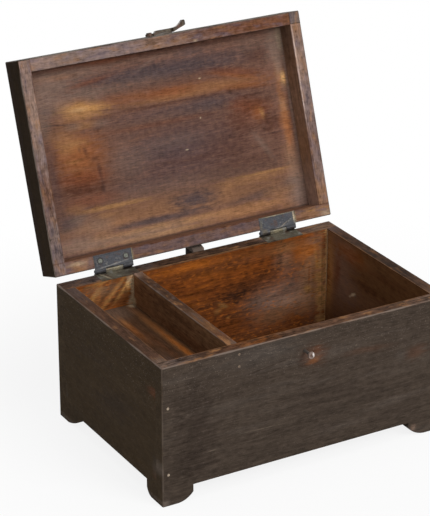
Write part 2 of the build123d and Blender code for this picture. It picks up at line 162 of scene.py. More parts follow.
class Paint:
    """A material in the making. u runs along the grain, v across it on the face and w into the board."""

    def __init__(self, name, axes, origin=(0, 0, 0), seed=0.0):
        self.material = bpy.data.materials.new(name)
        self.material.use_nodes = True
        self.tree = self.material.node_tree
        self.shader = self.tree.nodes["Principled BSDF"]
        self.seed = seed
        place = self.node("ShaderNodeTexCoord").outputs["Object"]
        moved = self.node("ShaderNodeVectorMath", operation="SUBTRACT")
        self.feed(moved.inputs[0], place)
        moved.inputs[1].default_value = origin
        self.u, self.v, self.w = [self.dot(moved.outputs[0], Vector(axis) * MM) for axis in axes]
        joined = self.node("ShaderNodeCombineXYZ")
        for socket, field in zip(joined.inputs, (self.u, self.v, self.w)):
            self.feed(socket, field)
        self.place = joined.outputs[0]
        self.colour = None

    def node(self, kind, **settings):
        return new_node(self.tree, kind, **settings)

    def feed(self, socket, value):
        """Put a field, an output or a plain value into a node's input."""
        if isinstance(value, Field):
            self.tree.links.new(value.socket, socket)
        elif isinstance(value, bpy.types.NodeSocket):
            self.tree.links.new(value, socket)
        else:
            socket.default_value = value

    def dot(self, place, direction):
        made = self.node("ShaderNodeVectorMath", operation="DOT_PRODUCT")
        self.feed(made.inputs[0], place)
        made.inputs[1].default_value = direction
        return Field(self, made.outputs["Value"])

    def noise(self, size, detail=2.0, contrast=1.0, seed=0.0, place=None):
        """Noise about 0.5, with features of a size (u, v, w) in millimetres."""
        scaled = self.node("ShaderNodeMapping")
        self.feed(scaled.inputs["Vector"], place or self.place)
        scaled.inputs["Location"].default_value = (self.seed, seed, 0.0)
        scaled.inputs["Scale"].default_value = [1.0 / length for length in size]
        made = self.node("ShaderNodeTexNoise")
        self.feed(made.inputs["Vector"], scaled.outputs[0])
        made.inputs["Scale"].default_value = 1.0
        made.inputs["Detail"].default_value = detail
        return (Field(self, made.outputs[0]) - 0.5) * contrast + 0.5

    def flat(self, u, v):
        """A place on the face for spots, from two fields. Its third number is 1, for their offsets."""
        joined = self.node("ShaderNodeCombineXYZ")
        self.feed(joined.inputs[0], u)
        self.feed(joined.inputs[1], v)
        joined.inputs[2].default_value = 1.0
        return joined.outputs[0]

    def spot(self, place, centre, half, tilt=0.0, ragged=0.0, core=0.1):
        """1 inside an ellipse, 0 outside it, soft between. Ragged is a field that moves its edge."""
        along = Vector((cos(radians(tilt)), sin(radians(tilt))))
        across = Vector((-along.y, along.x))
        parts = []
        for direction, length in zip((along, across), half):
            offset = direction.dot(Vector(centre))
            parts.append(self.dot(place, Vector((*direction, -offset)) / length))
        reach = (parts[0] * parts[0] + parts[1] * parts[1]).math("SQRT")
        return (reach + ragged).rise(1.4, core)

    def lay(self, colour, mask=1.0):
        """Lay a colour over what is there, where the mask is 1."""
        if self.colour is None:
            self.colour = colour
            return
        mix = self.node("ShaderNodeMix", data_type="RGBA")
        mix.clamp_factor = True
        self.feed(mix.inputs["Factor"], mask)
        self.feed(mix.inputs["A"], self.colour)
        self.feed(mix.inputs["B"], colour)
        self.colour = mix.outputs["Result"]

    def shade(self, factor):
        """Make the colour darker or lighter by a field."""
        scale = self.node("ShaderNodeVectorMath", operation="SCALE")
        self.feed(scale.inputs[0], self.colour)
        self.feed(scale.inputs["Scale"], factor)
        self.colour = scale.outputs[0]

    def finish(self, roughness, specular, metallic=0.0, height=None):
        """Give the shader its colour, gloss and relief."""
        self.feed(self.shader.inputs["Base Color"], self.colour)
        self.feed(self.shader.inputs["Roughness"], roughness)
        self.shader.inputs["Specular IOR Level"].default_value = specular
        self.shader.inputs["Metallic"].default_value = metallic
        if height is not None:
            bump = self.node("ShaderNodeBump")
            bump.inputs["Strength"].default_value = RELIEF
            bump.inputs["Distance"].default_value = RELIEF_DEPTH
            self.feed(bump.inputs["Height"], height)
            self.feed(self.shader.inputs["Normal"], bump.outputs[0])
        return self.material


def second_least(a, b, c):
    """The middle one of three fields: near an edge of a box, how far a place on its face is from it."""
    return a.least(b).most(a.most(b).least(c))


def dress(material, *names):
    """Give CAD nodes a material."""
    for name in names:
        mesh = nodes[name].data
        mesh.materials.clear()
        mesh.materials.append(material)


# ---------------------------------------------------------------- wood

X, Y, Z = (1, 0, 0), (0, 1, 0), (0, 0, 1)

# Tones of the stained outside
STAIN = screen(69, 59, 51)
STAIN_END = screen(61, 49, 35)
STAIN_LID = screen(43, 32, 20)
STAIN_DARK = screen(52, 43, 37)
HAZE = screen(84, 77, 72)
SCUFF = screen(98, 60, 40)
WORN = screen(126, 113, 104)
SCRATCH = screen(106, 94, 82)
# a dark tone for soot, smudges and joints, and also for painted shade in gaps and along edges
SOOT_AND_PAINTED_SHADE = screen(42, 32, 27)

# Tones of the lid's underside, from cold to warm
SLATE = screen(76, 64, 63)
MAUVE = screen(90, 68, 62)
# pale dust and rubbed wood, and also painted light in shaded margins and corners
DUST_AND_PAINTED_LIGHT = screen(124, 102, 88)
VEIL = screen(98, 102, 132)
FROST = screen(92, 82, 92)
UMBER = screen(107, 76, 60)
BROWN = screen(82, 50, 32)
RUSSET = screen(118, 64, 32)
ORANGE = screen(144, 86, 42)
HONEY = screen(152, 108, 70)
GOLD = screen(186, 136, 78)
CREAM = screen(205, 185, 152)
PEARL = screen(208, 184, 172)

# Tones inside the box and on its rim
WALL = screen(131, 71, 30)
AMBER = screen(184, 104, 38)
GILT = screen(232, 184, 120)
WALL_DARK = screen(84, 52, 32)
WALL_RIGHT = screen(110, 76, 48)
DIVIDER = screen(120, 88, 62)
TILL = screen(74, 52, 37)
RAIL = screen(140, 109, 88)
WALL_GREY = screen(108, 84, 72)
# a grey bloom on the finish, and also painted light over shade in corners
BLOOM_AND_PAINTED_LIGHT = screen(160, 130, 115)
RIM = screen(80, 58, 46)
RIM_GREY = screen(96, 86, 84)
RIM_DARK = screen(62, 46, 36)
RIM_WARM = screen(104, 76, 58)
LIP = screen(124, 105, 100)
LIP_RED = screen(106, 69, 50)
LIP_REAR = screen(114, 90, 84)


class Grain:
    """The figure of a board: broad bands, streaks, fibres and pores, each a field along the grain."""

    def __init__(self, paint, length=1.0):
        bend = paint.noise((90, 30, 30), 1.0, 2.0, 11.0) - 0.5
        joined = paint.node("ShaderNodeCombineXYZ")
        paint.feed(joined.inputs[0], paint.u)
        paint.feed(joined.inputs[1], paint.v + bend * WAVE)
        paint.feed(joined.inputs[2], paint.w)
        place = joined.outputs[0]
        self.bands = paint.noise((110, 13, 13), 3.0, 2.4, 1.0, place)
        self.streaks = paint.noise((38 * length, 2.2, 2.2), 4.0, 2.4, 2.0, place)
        self.fibres = paint.noise((11 * length, 0.6, 0.6), 3.0, 2.4, 3.0, place)
        self.pores = paint.noise((6 * length, 0.5, 0.5), 1.0, 3.0, 5.0, place).rise(0.72, 1.05)
        self.blotch = paint.noise((7, 4, 4), 5.0, 2.4, 4.0)
        self.mottle = paint.noise((15, 6, 6), 3.0, 2.6, 8.0)
        self.wear = (paint.noise((24, 24, 24), 4.0, 2.6, 6.0) - 0.5) * 1.3

    def figure(self, bands, streaks, fibres, blotch):
        """How much a colour is darker or lighter than its mean, from how much each field counts."""
        total = (self.bands - 0.5) * bands + (self.streaks - 0.5) * streaks
        total = total + (self.fibres - 0.5) * fibres - self.pores * 0.22
        return total + (self.blotch - 0.5) * blotch

    def ragged(self, streaks, blotch):
        """How far the edge of a patch wanders, as a share of its size."""
        return (self.streaks - 0.5) * streaks + (self.blotch - 0.5) * blotch

    def height(self):
        return self.fibres * 0.5 + self.streaks * 0.5 - self.pores


def spots(paint, place, rows, ragged, region=1.0):
    """Lay soft patches: each row is (u, v, half length, half width, tilt, colour, strength)."""
    for u, v, half_u, half_v, tilt, colour, strength in rows:
        mask = paint.spot(place, (u, v), (half_u, half_v), tilt, ragged)
        paint.lay(colour, mask * strength * region)


def arrises(paint, edge, wear, colour, reach, strength):
    """Wear along an edge, from the distance to it: rubbed away unevenly to a paler colour."""
    rubbed = (edge + wear).rise(reach, 0.2)
    paint.lay(colour, rubbed * strength)


def warm_inside(paint, grain, z, inside, tone):
    """The inside of the walls: warm, and darker low down, in bands and in blotches."""
    paint.lay(tone, inside)
    paint.lay(WALL_DARK, z.rise(95, 25) * inside * 0.55)
    paint.lay(WALL_DARK, grain.bands.rise(0.5, 0.95) * inside * 0.5)
    paint.lay(WALL_DARK, grain.blotch.rise(0.4, 0.0) * inside * 0.35)


def amber_flecks(paint, grain, inside, strength):
    """Flecks of amber among darker ones, where the light falls in."""
    flecks = paint.noise((5.0, 2.4, 2.4), 4.0, 2.8, 9.0)
    paint.lay(AMBER, flecks.rise(0.55, 1.05) * grain.bands.rise(0.2, 0.7) * inside * strength)
    paint.lay(WALL_DARK, flecks.rise(0.45, 0.0) * inside * strength * 0.45)


def rubbed_rim(paint, grain, place, rim, rows, pale, dark_tone, dark):
    """The upper face of a board: its own tone and patches, mottled paler and darker."""
    paint.lay(RIM, rim)
    spots(paint, place, rows, grain.ragged(0.6, 0.6), rim)
    paint.lay(HONEY, grain.mottle.rise(0.55, 1.05) * rim * pale)
    paint.lay(dark_tone, grain.mottle.rise(0.45, 0.0) * rim * dark)


def carcase(name, axes, seed, tone=STAIN, inside_tone=WALL, outside_rows=(), inside_rows=(), rim_rows=(),
            bloom_rows=(), gilt=0.0, contrast=1.35, rub=0.5):
    """A board of the carcase, with its dark outside, warm inside and rubbed rim."""
    paint = Paint(name, axes, seed=seed)
    fields = dict(zip(axes, (paint.u, paint.v, paint.w)))
    x, y, z = fields[X], fields[Y], fields[Z]
    grain = Grain(paint)
    to_x, to_y, to_z = half_w - abs(x), half_d - abs(y), rim_z - z
    to_inside = (abs(x) - inner_x).most(y - inner_back_y).most(y * -1.0 + inner_front_y)
    inside = to_inside.rise(1.0, 0.2)
    rim = to_z.rise(*TOP_FADE)
    face = paint.flat(paint.u, paint.v)
    paint.lay(tone)
    paint.lay(HAZE, grain.bands.rise(0.5, 1.1) * 0.25)
    paint.lay(STAIN_END, to_x.rise(*SIDE_FADE) * 0.9)
    spots(paint, face, outside_rows, grain.ragged(0.7, 0.5))
    specks = paint.noise((1.5, 1.1, 1.1), 2.0, 3.2, 12.0).rise(0.85, 1.2)
    paint.lay(WORN, specks * (z.rise(70, 130) * 0.3 + 0.15))
    if inside_tone:
        warm_inside(paint, grain, z, inside, inside_tone)
    spots(paint, face, bloom_rows, grain.ragged(0.15, 0.4), inside)
    spots(paint, face, inside_rows, grain.ragged(0.6, 0.9), inside)
    if gilt:
        amber_flecks(paint, grain, inside, gilt)
    rubbed_rim(paint, grain, paint.flat(x, y), rim, rim_rows, rub, RIM_DARK, rub)
    boost = rim * (rub * 2.0) + contrast
    paint.shade(grain.figure(0.16, 0.24, 0.3, 0.28) * boost + LEVEL)
    # Upright arrises wear less than level ones.
    level = to_x.most(to_y).rise(1.5, 2.5)
    arrises(paint, second_least(to_x, to_y, to_z), grain.wear, WORN, WEAR_REACH, level * 0.4 + 0.35)
    if inside_tone:
        arrises(paint, to_inside.most(to_z), grain.wear, HONEY, 1.0, 0.35)
    return paint.finish(grain.streaks * 0.15 + 0.6, 0.02, height=grain.height())


front_rows = [
    (-45, 126, 50, 13, 0, HAZE, 0.4), (-116, 60, 22, 60, 0, STAIN_DARK, 0.6),
    (-45, 111.5, 28, 0.8, 7, STAIN_DARK, 0.8), (-35, 107.5, 26, 0.7, 5, STAIN_DARK, 0.6),
    (62, 103, 26, 4, -3, SCUFF, 0.22), (116, 87, 13, 8, 0, SCUFF, 0.3), (100, 88, 8, 6, 0, HAZE, 0.3),
    (-46, 51.5, 26, 0.8, -2, SCRATCH, 0.5), (-100, 43.5, 7, 0.9, 0, SCRATCH, 0.6),
    (-55, 42.5, 14, 0.6, 0, SCRATCH, 0.3), (20, 70, 40, 14, 0, STAIN_DARK, 0.25),
    (5, 112, 15, 12, 0, SCUFF, 0.4), (5, 106, 7, 3, 12, ORANGE, 0.4), (8, 117, 6, 4, 30, SCUFF, 0.4),
    (-150, 37, 1.3, 7, 0, WORN, 0.35),
]
front_rim = [
    (0, -95, 110, 14, 0, RIM_WARM, 0.7), (100, -95, 20, 12, 0, RIM_WARM, 0.7),
    (-132, -95, 26, 12, 0, DUST_AND_PAINTED_LIGHT, 0.5), (-134, -95, 22, 12, 0, RIM_GREY, 0.7),
    (-98, -95, 14, 8, 0, RIM, 0.6), (-144, -95, 10, 12, 0, DUST_AND_PAINTED_LIGHT, 0.8),
    (-122, -95, 12, 12, 0, DUST_AND_PAINTED_LIGHT, 0.3), (-52, -94, 22, 9, 0, ORANGE, 0.7),
    (-42, -94, 14, 8, 0, ORANGE, 0.5), (-78, -95, 10, 6, 0, LIP_RED, 0.3),
    (142, -95, 34, 12, 0, DUST_AND_PAINTED_LIGHT, 0.6),
]
dress(carcase("front_wood", (X, Z, Y), 3.0, outside_rows=front_rows, rim_rows=front_rim, rub=0.8),
      "front_board")

back_bloom = [
    # the grey bloom on the right; beyond it, towards the corner, warmer and paler patches that are partly
    # painted light
    (92, 74, 46, 22, 22, WALL_GREY, 0.9), (60, 76, 26, 14, 10, WALL_GREY, 0.85),
    (78, 84, 24, 9, 16, BLOOM_AND_PAINTED_LIGHT, 0.3), (92, 104, 18, 16, 0, WALL_GREY, 0.6),
    (64, 90, 22, 10, 14, WALL_GREY, 0.5), (88, 116, 12, 8, 0, BLOOM_AND_PAINTED_LIGHT, 0.3),
    (126, 86, 20, 44, 0, BLOOM_AND_PAINTED_LIGHT, 0.5), (116, 70, 30, 16, 0, BLOOM_AND_PAINTED_LIGHT, 0.5),
    (124, 92, 16, 40, 0, HONEY, 0.4), (122, 108, 18, 22, 0, HONEY, 0.4),
    (104, 70, 26, 10, 0, HONEY, 0.35), (66, 126, 60, 7, 0, WALL_GREY, 0.2),
    # in the shade of the divider: paler patches painted over the shade, and a darker one
    (-58, 94, 12, 22, 0, BLOOM_AND_PAINTED_LIGHT, 0.3), (-46, 82, 8, 14, 0, BLOOM_AND_PAINTED_LIGHT, 0.2), (-60, 76, 10, 10, 0, BROWN, 0.3),
    # the left of the middle, darker
    (-4, 94, 36, 22, 0, BROWN, 0.35), (10, 74, 34, 12, 0, BROWN, 0.35),
    (44, 88, 36, 10, 0, BROWN, 0.35), (24, 129, 44, 7, 0, BROWN, 0.4),
    (-38, 128, 14, 7, 0, RUSSET, 0.6), (16, 86, 40, 7, 0, BROWN, 0.35),
    (-32, 86, 8, 8, 0, WALL_DARK, 0.6), (-15, 71, 9, 7, 0, BROWN, 0.8), (-60, 71, 8, 8, 0, BROWN, 0.6),
    (75, 101, 10, 7, 0, BROWN, 0.5), (84, 71, 34, 8, 0, BLOOM_AND_PAINTED_LIGHT, 0.35), (118, 78, 14, 20, 0, HONEY, 0.45),
    (90, 126, 14, 7, 0, HONEY, 0.3), (90, 112, 12, 6, 0, HONEY, 0.3), (124, 126, 12, 8, 0, DUST_AND_PAINTED_LIGHT, 0.5),
    # the cream strip at 139 is painted light up the corner by the right wall
    (139, 92, 2.6, 60, 0, CREAM, 0.8), (80, 57, 26, 10, 0, HONEY, 0.35),
    (114, 56, 12, 8, 0, HONEY, 0.4),
]
back_rows = [
    # sunlit gold along the top
    (-16, 129, 56, 5, 0, AMBER, 0.6), (-12, 131, 16, 4.5, 0, AMBER, 0.5),
    (92, 126, 30, 8, -5, HONEY, 0.4), (38, 125, 26, 6, 0, WALL_DARK, 0.3),
    (30, 119, 50, 3, 0, WALL_DARK, 0.4), (5, 116, 22, 5, 0, AMBER, 0.3),
    (58, 127, 26, 4, -4, ORANGE, 0.4), (112, 118, 14, 12, 0, AMBER, 0.4),
    # the middle: dark and reddish
    (-28, 112, 8, 6, 0, RUSSET, 0.4), (45, 97, 34, 10, 12, BROWN, 0.6), (33, 88, 15, 8, 14, SOOT_AND_PAINTED_SHADE, 0.6),
    (66, 102, 18, 5, 0, BROWN, 0.4), (84, 113, 4, 7, 0, SOOT_AND_PAINTED_SHADE, 0.55), (110, 104, 6, 5, 0, BROWN, 0.4),
    (1, 106, 14, 2.0, 6, AMBER, 0.5), (20, 81, 7, 3, -30, GOLD, 0.4), (14, 76, 5, 3, 0, GOLD, 0.3),
    (-20, 96, 20, 3, 0, AMBER, 0.35), (-6, 88, 16, 2.4, 0, AMBER, 0.3),
    (36, 66, 20, 5, 0, WALL_DARK, 0.4), (74, 79, 26, 3, 14, DUST_AND_PAINTED_LIGHT, 0.25),
    (48, 70, 24, 3, 12, WALL_DARK, 0.35), (82, 92, 18, 2.2, 16, BROWN, 0.35),
    # the corner by the right wall: gold flecks and lines, and gilt strips of painted light reflected from
    # the right wall
    (139, 92, 4, 80, 0, GILT, 0.9), (131, 80, 7, 40, 0, AMBER, 0.5), (132, 76, 6, 44, 0, GILT, 0.65),
    (126, 106, 2.2, 20, 8, GOLD, 0.6), (130, 74, 1.4, 24, 0, GOLD, 0.5), (117, 77, 5, 4, 0, GOLD, 0.75),
    (121, 118, 9, 8, 0, AMBER, 0.6), (26, 66, 2.0, 1.8, 0, GOLD, 0.4), (133, 90, 1.2, 40, 0, SOOT_AND_PAINTED_SHADE, 0.3),
    (118, 92, 1.4, 16, 0, RUSSET, 0.5),
    # inside the till: slanting stripes
    (-106, 120, 34, 20, 0, HONEY, 0.65), (-88, 123, 20, 2.2, 52, GOLD, 0.9),
    (-94, 120, 22, 2.4, 50, BROWN, 0.65), (-101, 119, 22, 2.4, 48, GOLD, 0.8),
    (-108, 119, 22, 2.4, 48, BROWN, 0.65), (-119, 122, 20, 4.0, 48, GOLD, 0.9),
    (-125, 122, 16, 2.0, 48, BROWN, 0.35), (-94, 110, 18, 4, 6, RUSSET, 0.5),
    # painted light in the corner by the divider
    (-82, 126, 3.4, 5, 0, GILT, 0.9), (-78.4, 118, 1.8, 24, 0, CREAM, 0.9),
    (-79.5, 109, 4, 6, 0, CREAM, 0.9), (-80, 131, 4, 5, 0, CREAM, 0.6),
    (-104, 124, 8, 5, 0, HONEY, 0.45), (-114, 134, 10, 3, 0, GOLD, 0.6),
    (-112, 127, 24, 6, 0, DUST_AND_PAINTED_LIGHT, 0.35), (-100, 106, 30, 1.2, 0, ORANGE, 0.9),
]
back_rim = [
    (0, 94, 75, 14, 0, RIM_DARK, 0.95), (-112, 94, 44, 14, 0, RIM_GREY, 0.6),
    (134, 94, 26, 14, 0, DUST_AND_PAINTED_LIGHT, 0.75), (-30, 94, 26, 14, 0, RIM, 0.6),
    (-4, 94, 12, 14, 0, RIM_WARM, 0.6), (88, 94, 22, 14, 0, RIM_GREY, 0.7),
    (0, 87, 140, 0.8, 0, HONEY, 0.7), (-60, 94, 9, 12, 0, RIM_GREY, 0.5),
    (0, 88.4, 130, 0.9, 0, SOOT_AND_PAINTED_SHADE, 0.5), (68, 98, 8, 6, 0, DUST_AND_PAINTED_LIGHT, 0.5),
]
dress(carcase("back_wood", (X, Z, Y), 17.0, inside_rows=back_rows, rim_rows=back_rim,
              bloom_rows=back_bloom, gilt=0.5, contrast=1.8), "back_board")

left_rows = [
    (-86, 107, 10, 6, 0, SCUFF, 0.6), (-94, 96, 5, 5, 0, SCUFF, 0.5),
    (88, 78, 3, 1.5, -20, SCRATCH, 0.6), (-15, 62, 40, 16, -12, STAIN_DARK, 0.5),
    (-92, 25, 9, 12, 0, SCUFF, 0.25), (30, 95, 50, 8, -10, STAIN_DARK, 0.3),
    (-91, 33, 8, 9, 0, HAZE, 0.45), (92, 32, 8, 12, 0, HAZE, 0.7),
]
left_rim = [
    (-144, -94, 12, 14, 0, DUST_AND_PAINTED_LIGHT, 0.8), (-144, -46, 12, 26, 0, RIM_DARK, 0.4),
    (-144, 78, 12, 30, 0, RIM_GREY, 0.45),
]
dress(carcase("left_wood", (Y, Z, X), 31.0, STAIN_END, outside_rows=left_rows, rim_rows=left_rim,
              contrast=1.05, rub=0.35), "left_side_board")

right_rim = [
    (144, -5, 14, 84, 0, RIM_DARK, 1.0), (144, -26, 14, 26, 0, SOOT_AND_PAINTED_SHADE, 0.8),
    (144, 12, 14, 12, 0, SOOT_AND_PAINTED_SHADE, 0.5), (144, 48, 14, 18, 0, SOOT_AND_PAINTED_SHADE, 0.4), (144, -94, 12, 14, 0, DUST_AND_PAINTED_LIGHT, 0.65),
    (144, 86, 12, 12, 0, RIM_GREY, 0.5),
]
right_rows = [
    (40, 122, 24, 9, 0, RUSSET, 0.5), (84, 92, 6, 26, 0, RUSSET, 0.7), (36, 84, 5, 1.4, 0, DUST_AND_PAINTED_LIGHT, 0.7),
    (-20, 60, 40, 12, 0, WALL_DARK, 0.5), (10, 100, 30, 5, 4, BROWN, 0.5),
    (44, 126, 26, 9, 0, ORANGE, 0.6), (85.2, 100, 0.9, 40, 0, CREAM, 0.8),
    (83.6, 104, 0.8, 30, 0, SOOT_AND_PAINTED_SHADE, 0.5), (38, 84, 6.5, 1.7, -32, CREAM, 1.0),
]
right_bloom = [
    # the honey and gold at 80 to 82 along are painted light in the shaded back corner
    (66, 100, 34, 50, 0, BLOOM_AND_PAINTED_LIGHT, 0.35), (80, 98, 12, 50, 0, HONEY, 0.95),
    (36, 124, 40, 10, 0, HONEY, 0.4), (44, 84, 24, 16, 0, BLOOM_AND_PAINTED_LIGHT, 0.15), (66, 98, 6, 22, 6, RUSSET, 0.5),
    (10, 84, 40, 16, 0, BLOOM_AND_PAINTED_LIGHT, 0.1), (46, 125, 14, 9, 0, BLOOM_AND_PAINTED_LIGHT, 0.45), (82, 88, 8, 36, 0, GOLD, 0.7),
]
dress(carcase("right_wood", (Y, Z, X), 43.0, STAIN_END, WALL_RIGHT, inside_rows=right_rows,
              rim_rows=right_rim, bloom_rows=right_bloom, contrast=1.1, rub=0.2), "right_side_board")
dress(carcase("bottom_wood", (X, Y, Z), 57.0, inside_tone=WALL_DARK), "bottom_board")
foot_rows = [
    (-136, 22, 15, 0.7, 0, SCRATCH, 0.5), (-131, 30, 8, 10, 0, HAZE, 0.8),
    (-147, 3, 4, 3, 0, WORN, 0.5), (116.5, 9, 3.5, 3.5, 0, DUST_AND_PAINTED_LIGHT, 0.75),
]
dress(carcase("foot_wood", (X, Z, Y), 71.0, inside_tone=None, outside_rows=foot_rows),
      "foot_front_left", "foot_front_right", "foot_rear_left", "foot_rear_right")


def flecked_field(paint, to_margin):
    """The panel's own face: flecked, slightly veiled, and painted lighter at the margins, against the
    shade of the rails.
    """
    flecks = paint.noise((4.5, 1.2, 1.2), 4.0, 2.8, 9.0)
    paint.lay(HONEY, flecks.rise(0.55, 1.1) * 0.16)
    paint.lay(BROWN, flecks.rise(0.45, -0.05) * 0.2)
    paint.lay(VEIL, 0.05)
    paint.shade(to_margin.rise(34, 6) * 0.3 + 1.0)


def lid_wood(name, along_depth, seed, lip, rows=(), lip_rows=(), bare_rows=(), base=UMBER, field=False):
    """A piece of the lid: dark outside, a rubbed lip, and an inside with patches of colour."""
    axes = (depth_dir, across_lid, height_dir) if along_depth else (across_lid, depth_dir, height_dir)
    paint = Paint(name, axes, lid_corner, seed)
    x, d = (paint.v, paint.u) if along_depth else (paint.u, paint.v)
    h = paint.w
    grain = Grain(paint, length=0.7)
    to_x, to_d, to_h = lid_half_w - abs(x), d.least(lid_d - d), h.least(lid_t - h)
    outside = to_x.least(to_d).least(lid_t - h).rise(*SIDE_FADE)
    on_lip = h.rise(*TOP_FADE)
    lip_boost = 0.8 if along_depth else 0.35
    place = paint.flat(x, d)
    ragged = grain.ragged(0.4, 0.45)
    paint.lay(base)
    spots(paint, place, rows, ragged)
    to_rail = (d - rail_w).least(lid_d - rail_w - d)
    if field:
        # painted light at all the margins but the left one
        flecked_field(paint, to_rail.least(rail_x - x))
    to_rail = to_rail.least(x + rail_x)
    curl = paint.noise((2.6, 11, 11), 3.0, 2.2, 7.0) - 0.5
    paint.lay(lip, on_lip)
    spots(paint, place, lip_rows, ragged, on_lip)
    spots(paint, place, bare_rows, 0.0, h.rise(2.2, 1.4))
    paint.lay(HONEY, grain.mottle.rise(0.55, 1.05) * on_lip * 0.45)
    paint.lay(FROST, grain.mottle.rise(0.5, 0.0) * on_lip * 0.5)
    paint.lay(STAIN, outside)
    paint.lay(STAIN_LID, to_x.rise(*SIDE_FADE))
    paint.shade((grain.figure(0.18, 0.2, 0.34, 0.26) + curl * 0.16) * (on_lip * lip_boost + 1.2) + LEVEL)
    arrises(paint, second_least(to_x, to_d, to_h), grain.wear, WORN, WEAR_REACH, 0.7)
    # Painted shade: a dark line where the panel meets the rails, but not at the right one.
    paint.lay(SOOT_AND_PAINTED_SHADE, to_rail.rise(2.6, 0.6) * h.rise(rail_h - 1.5, rail_h - 0.5) * 0.55)
    inner_arris = (rail_x - abs(x)).most(rail_w - d)
    arrises(paint, abs(inner_arris).most(h), grain.wear * 0.4, BROWN, WEAR_REACH, 0.5)
    return paint.finish(grain.streaks * 0.15 + 0.5, 0.01, height=grain.height())


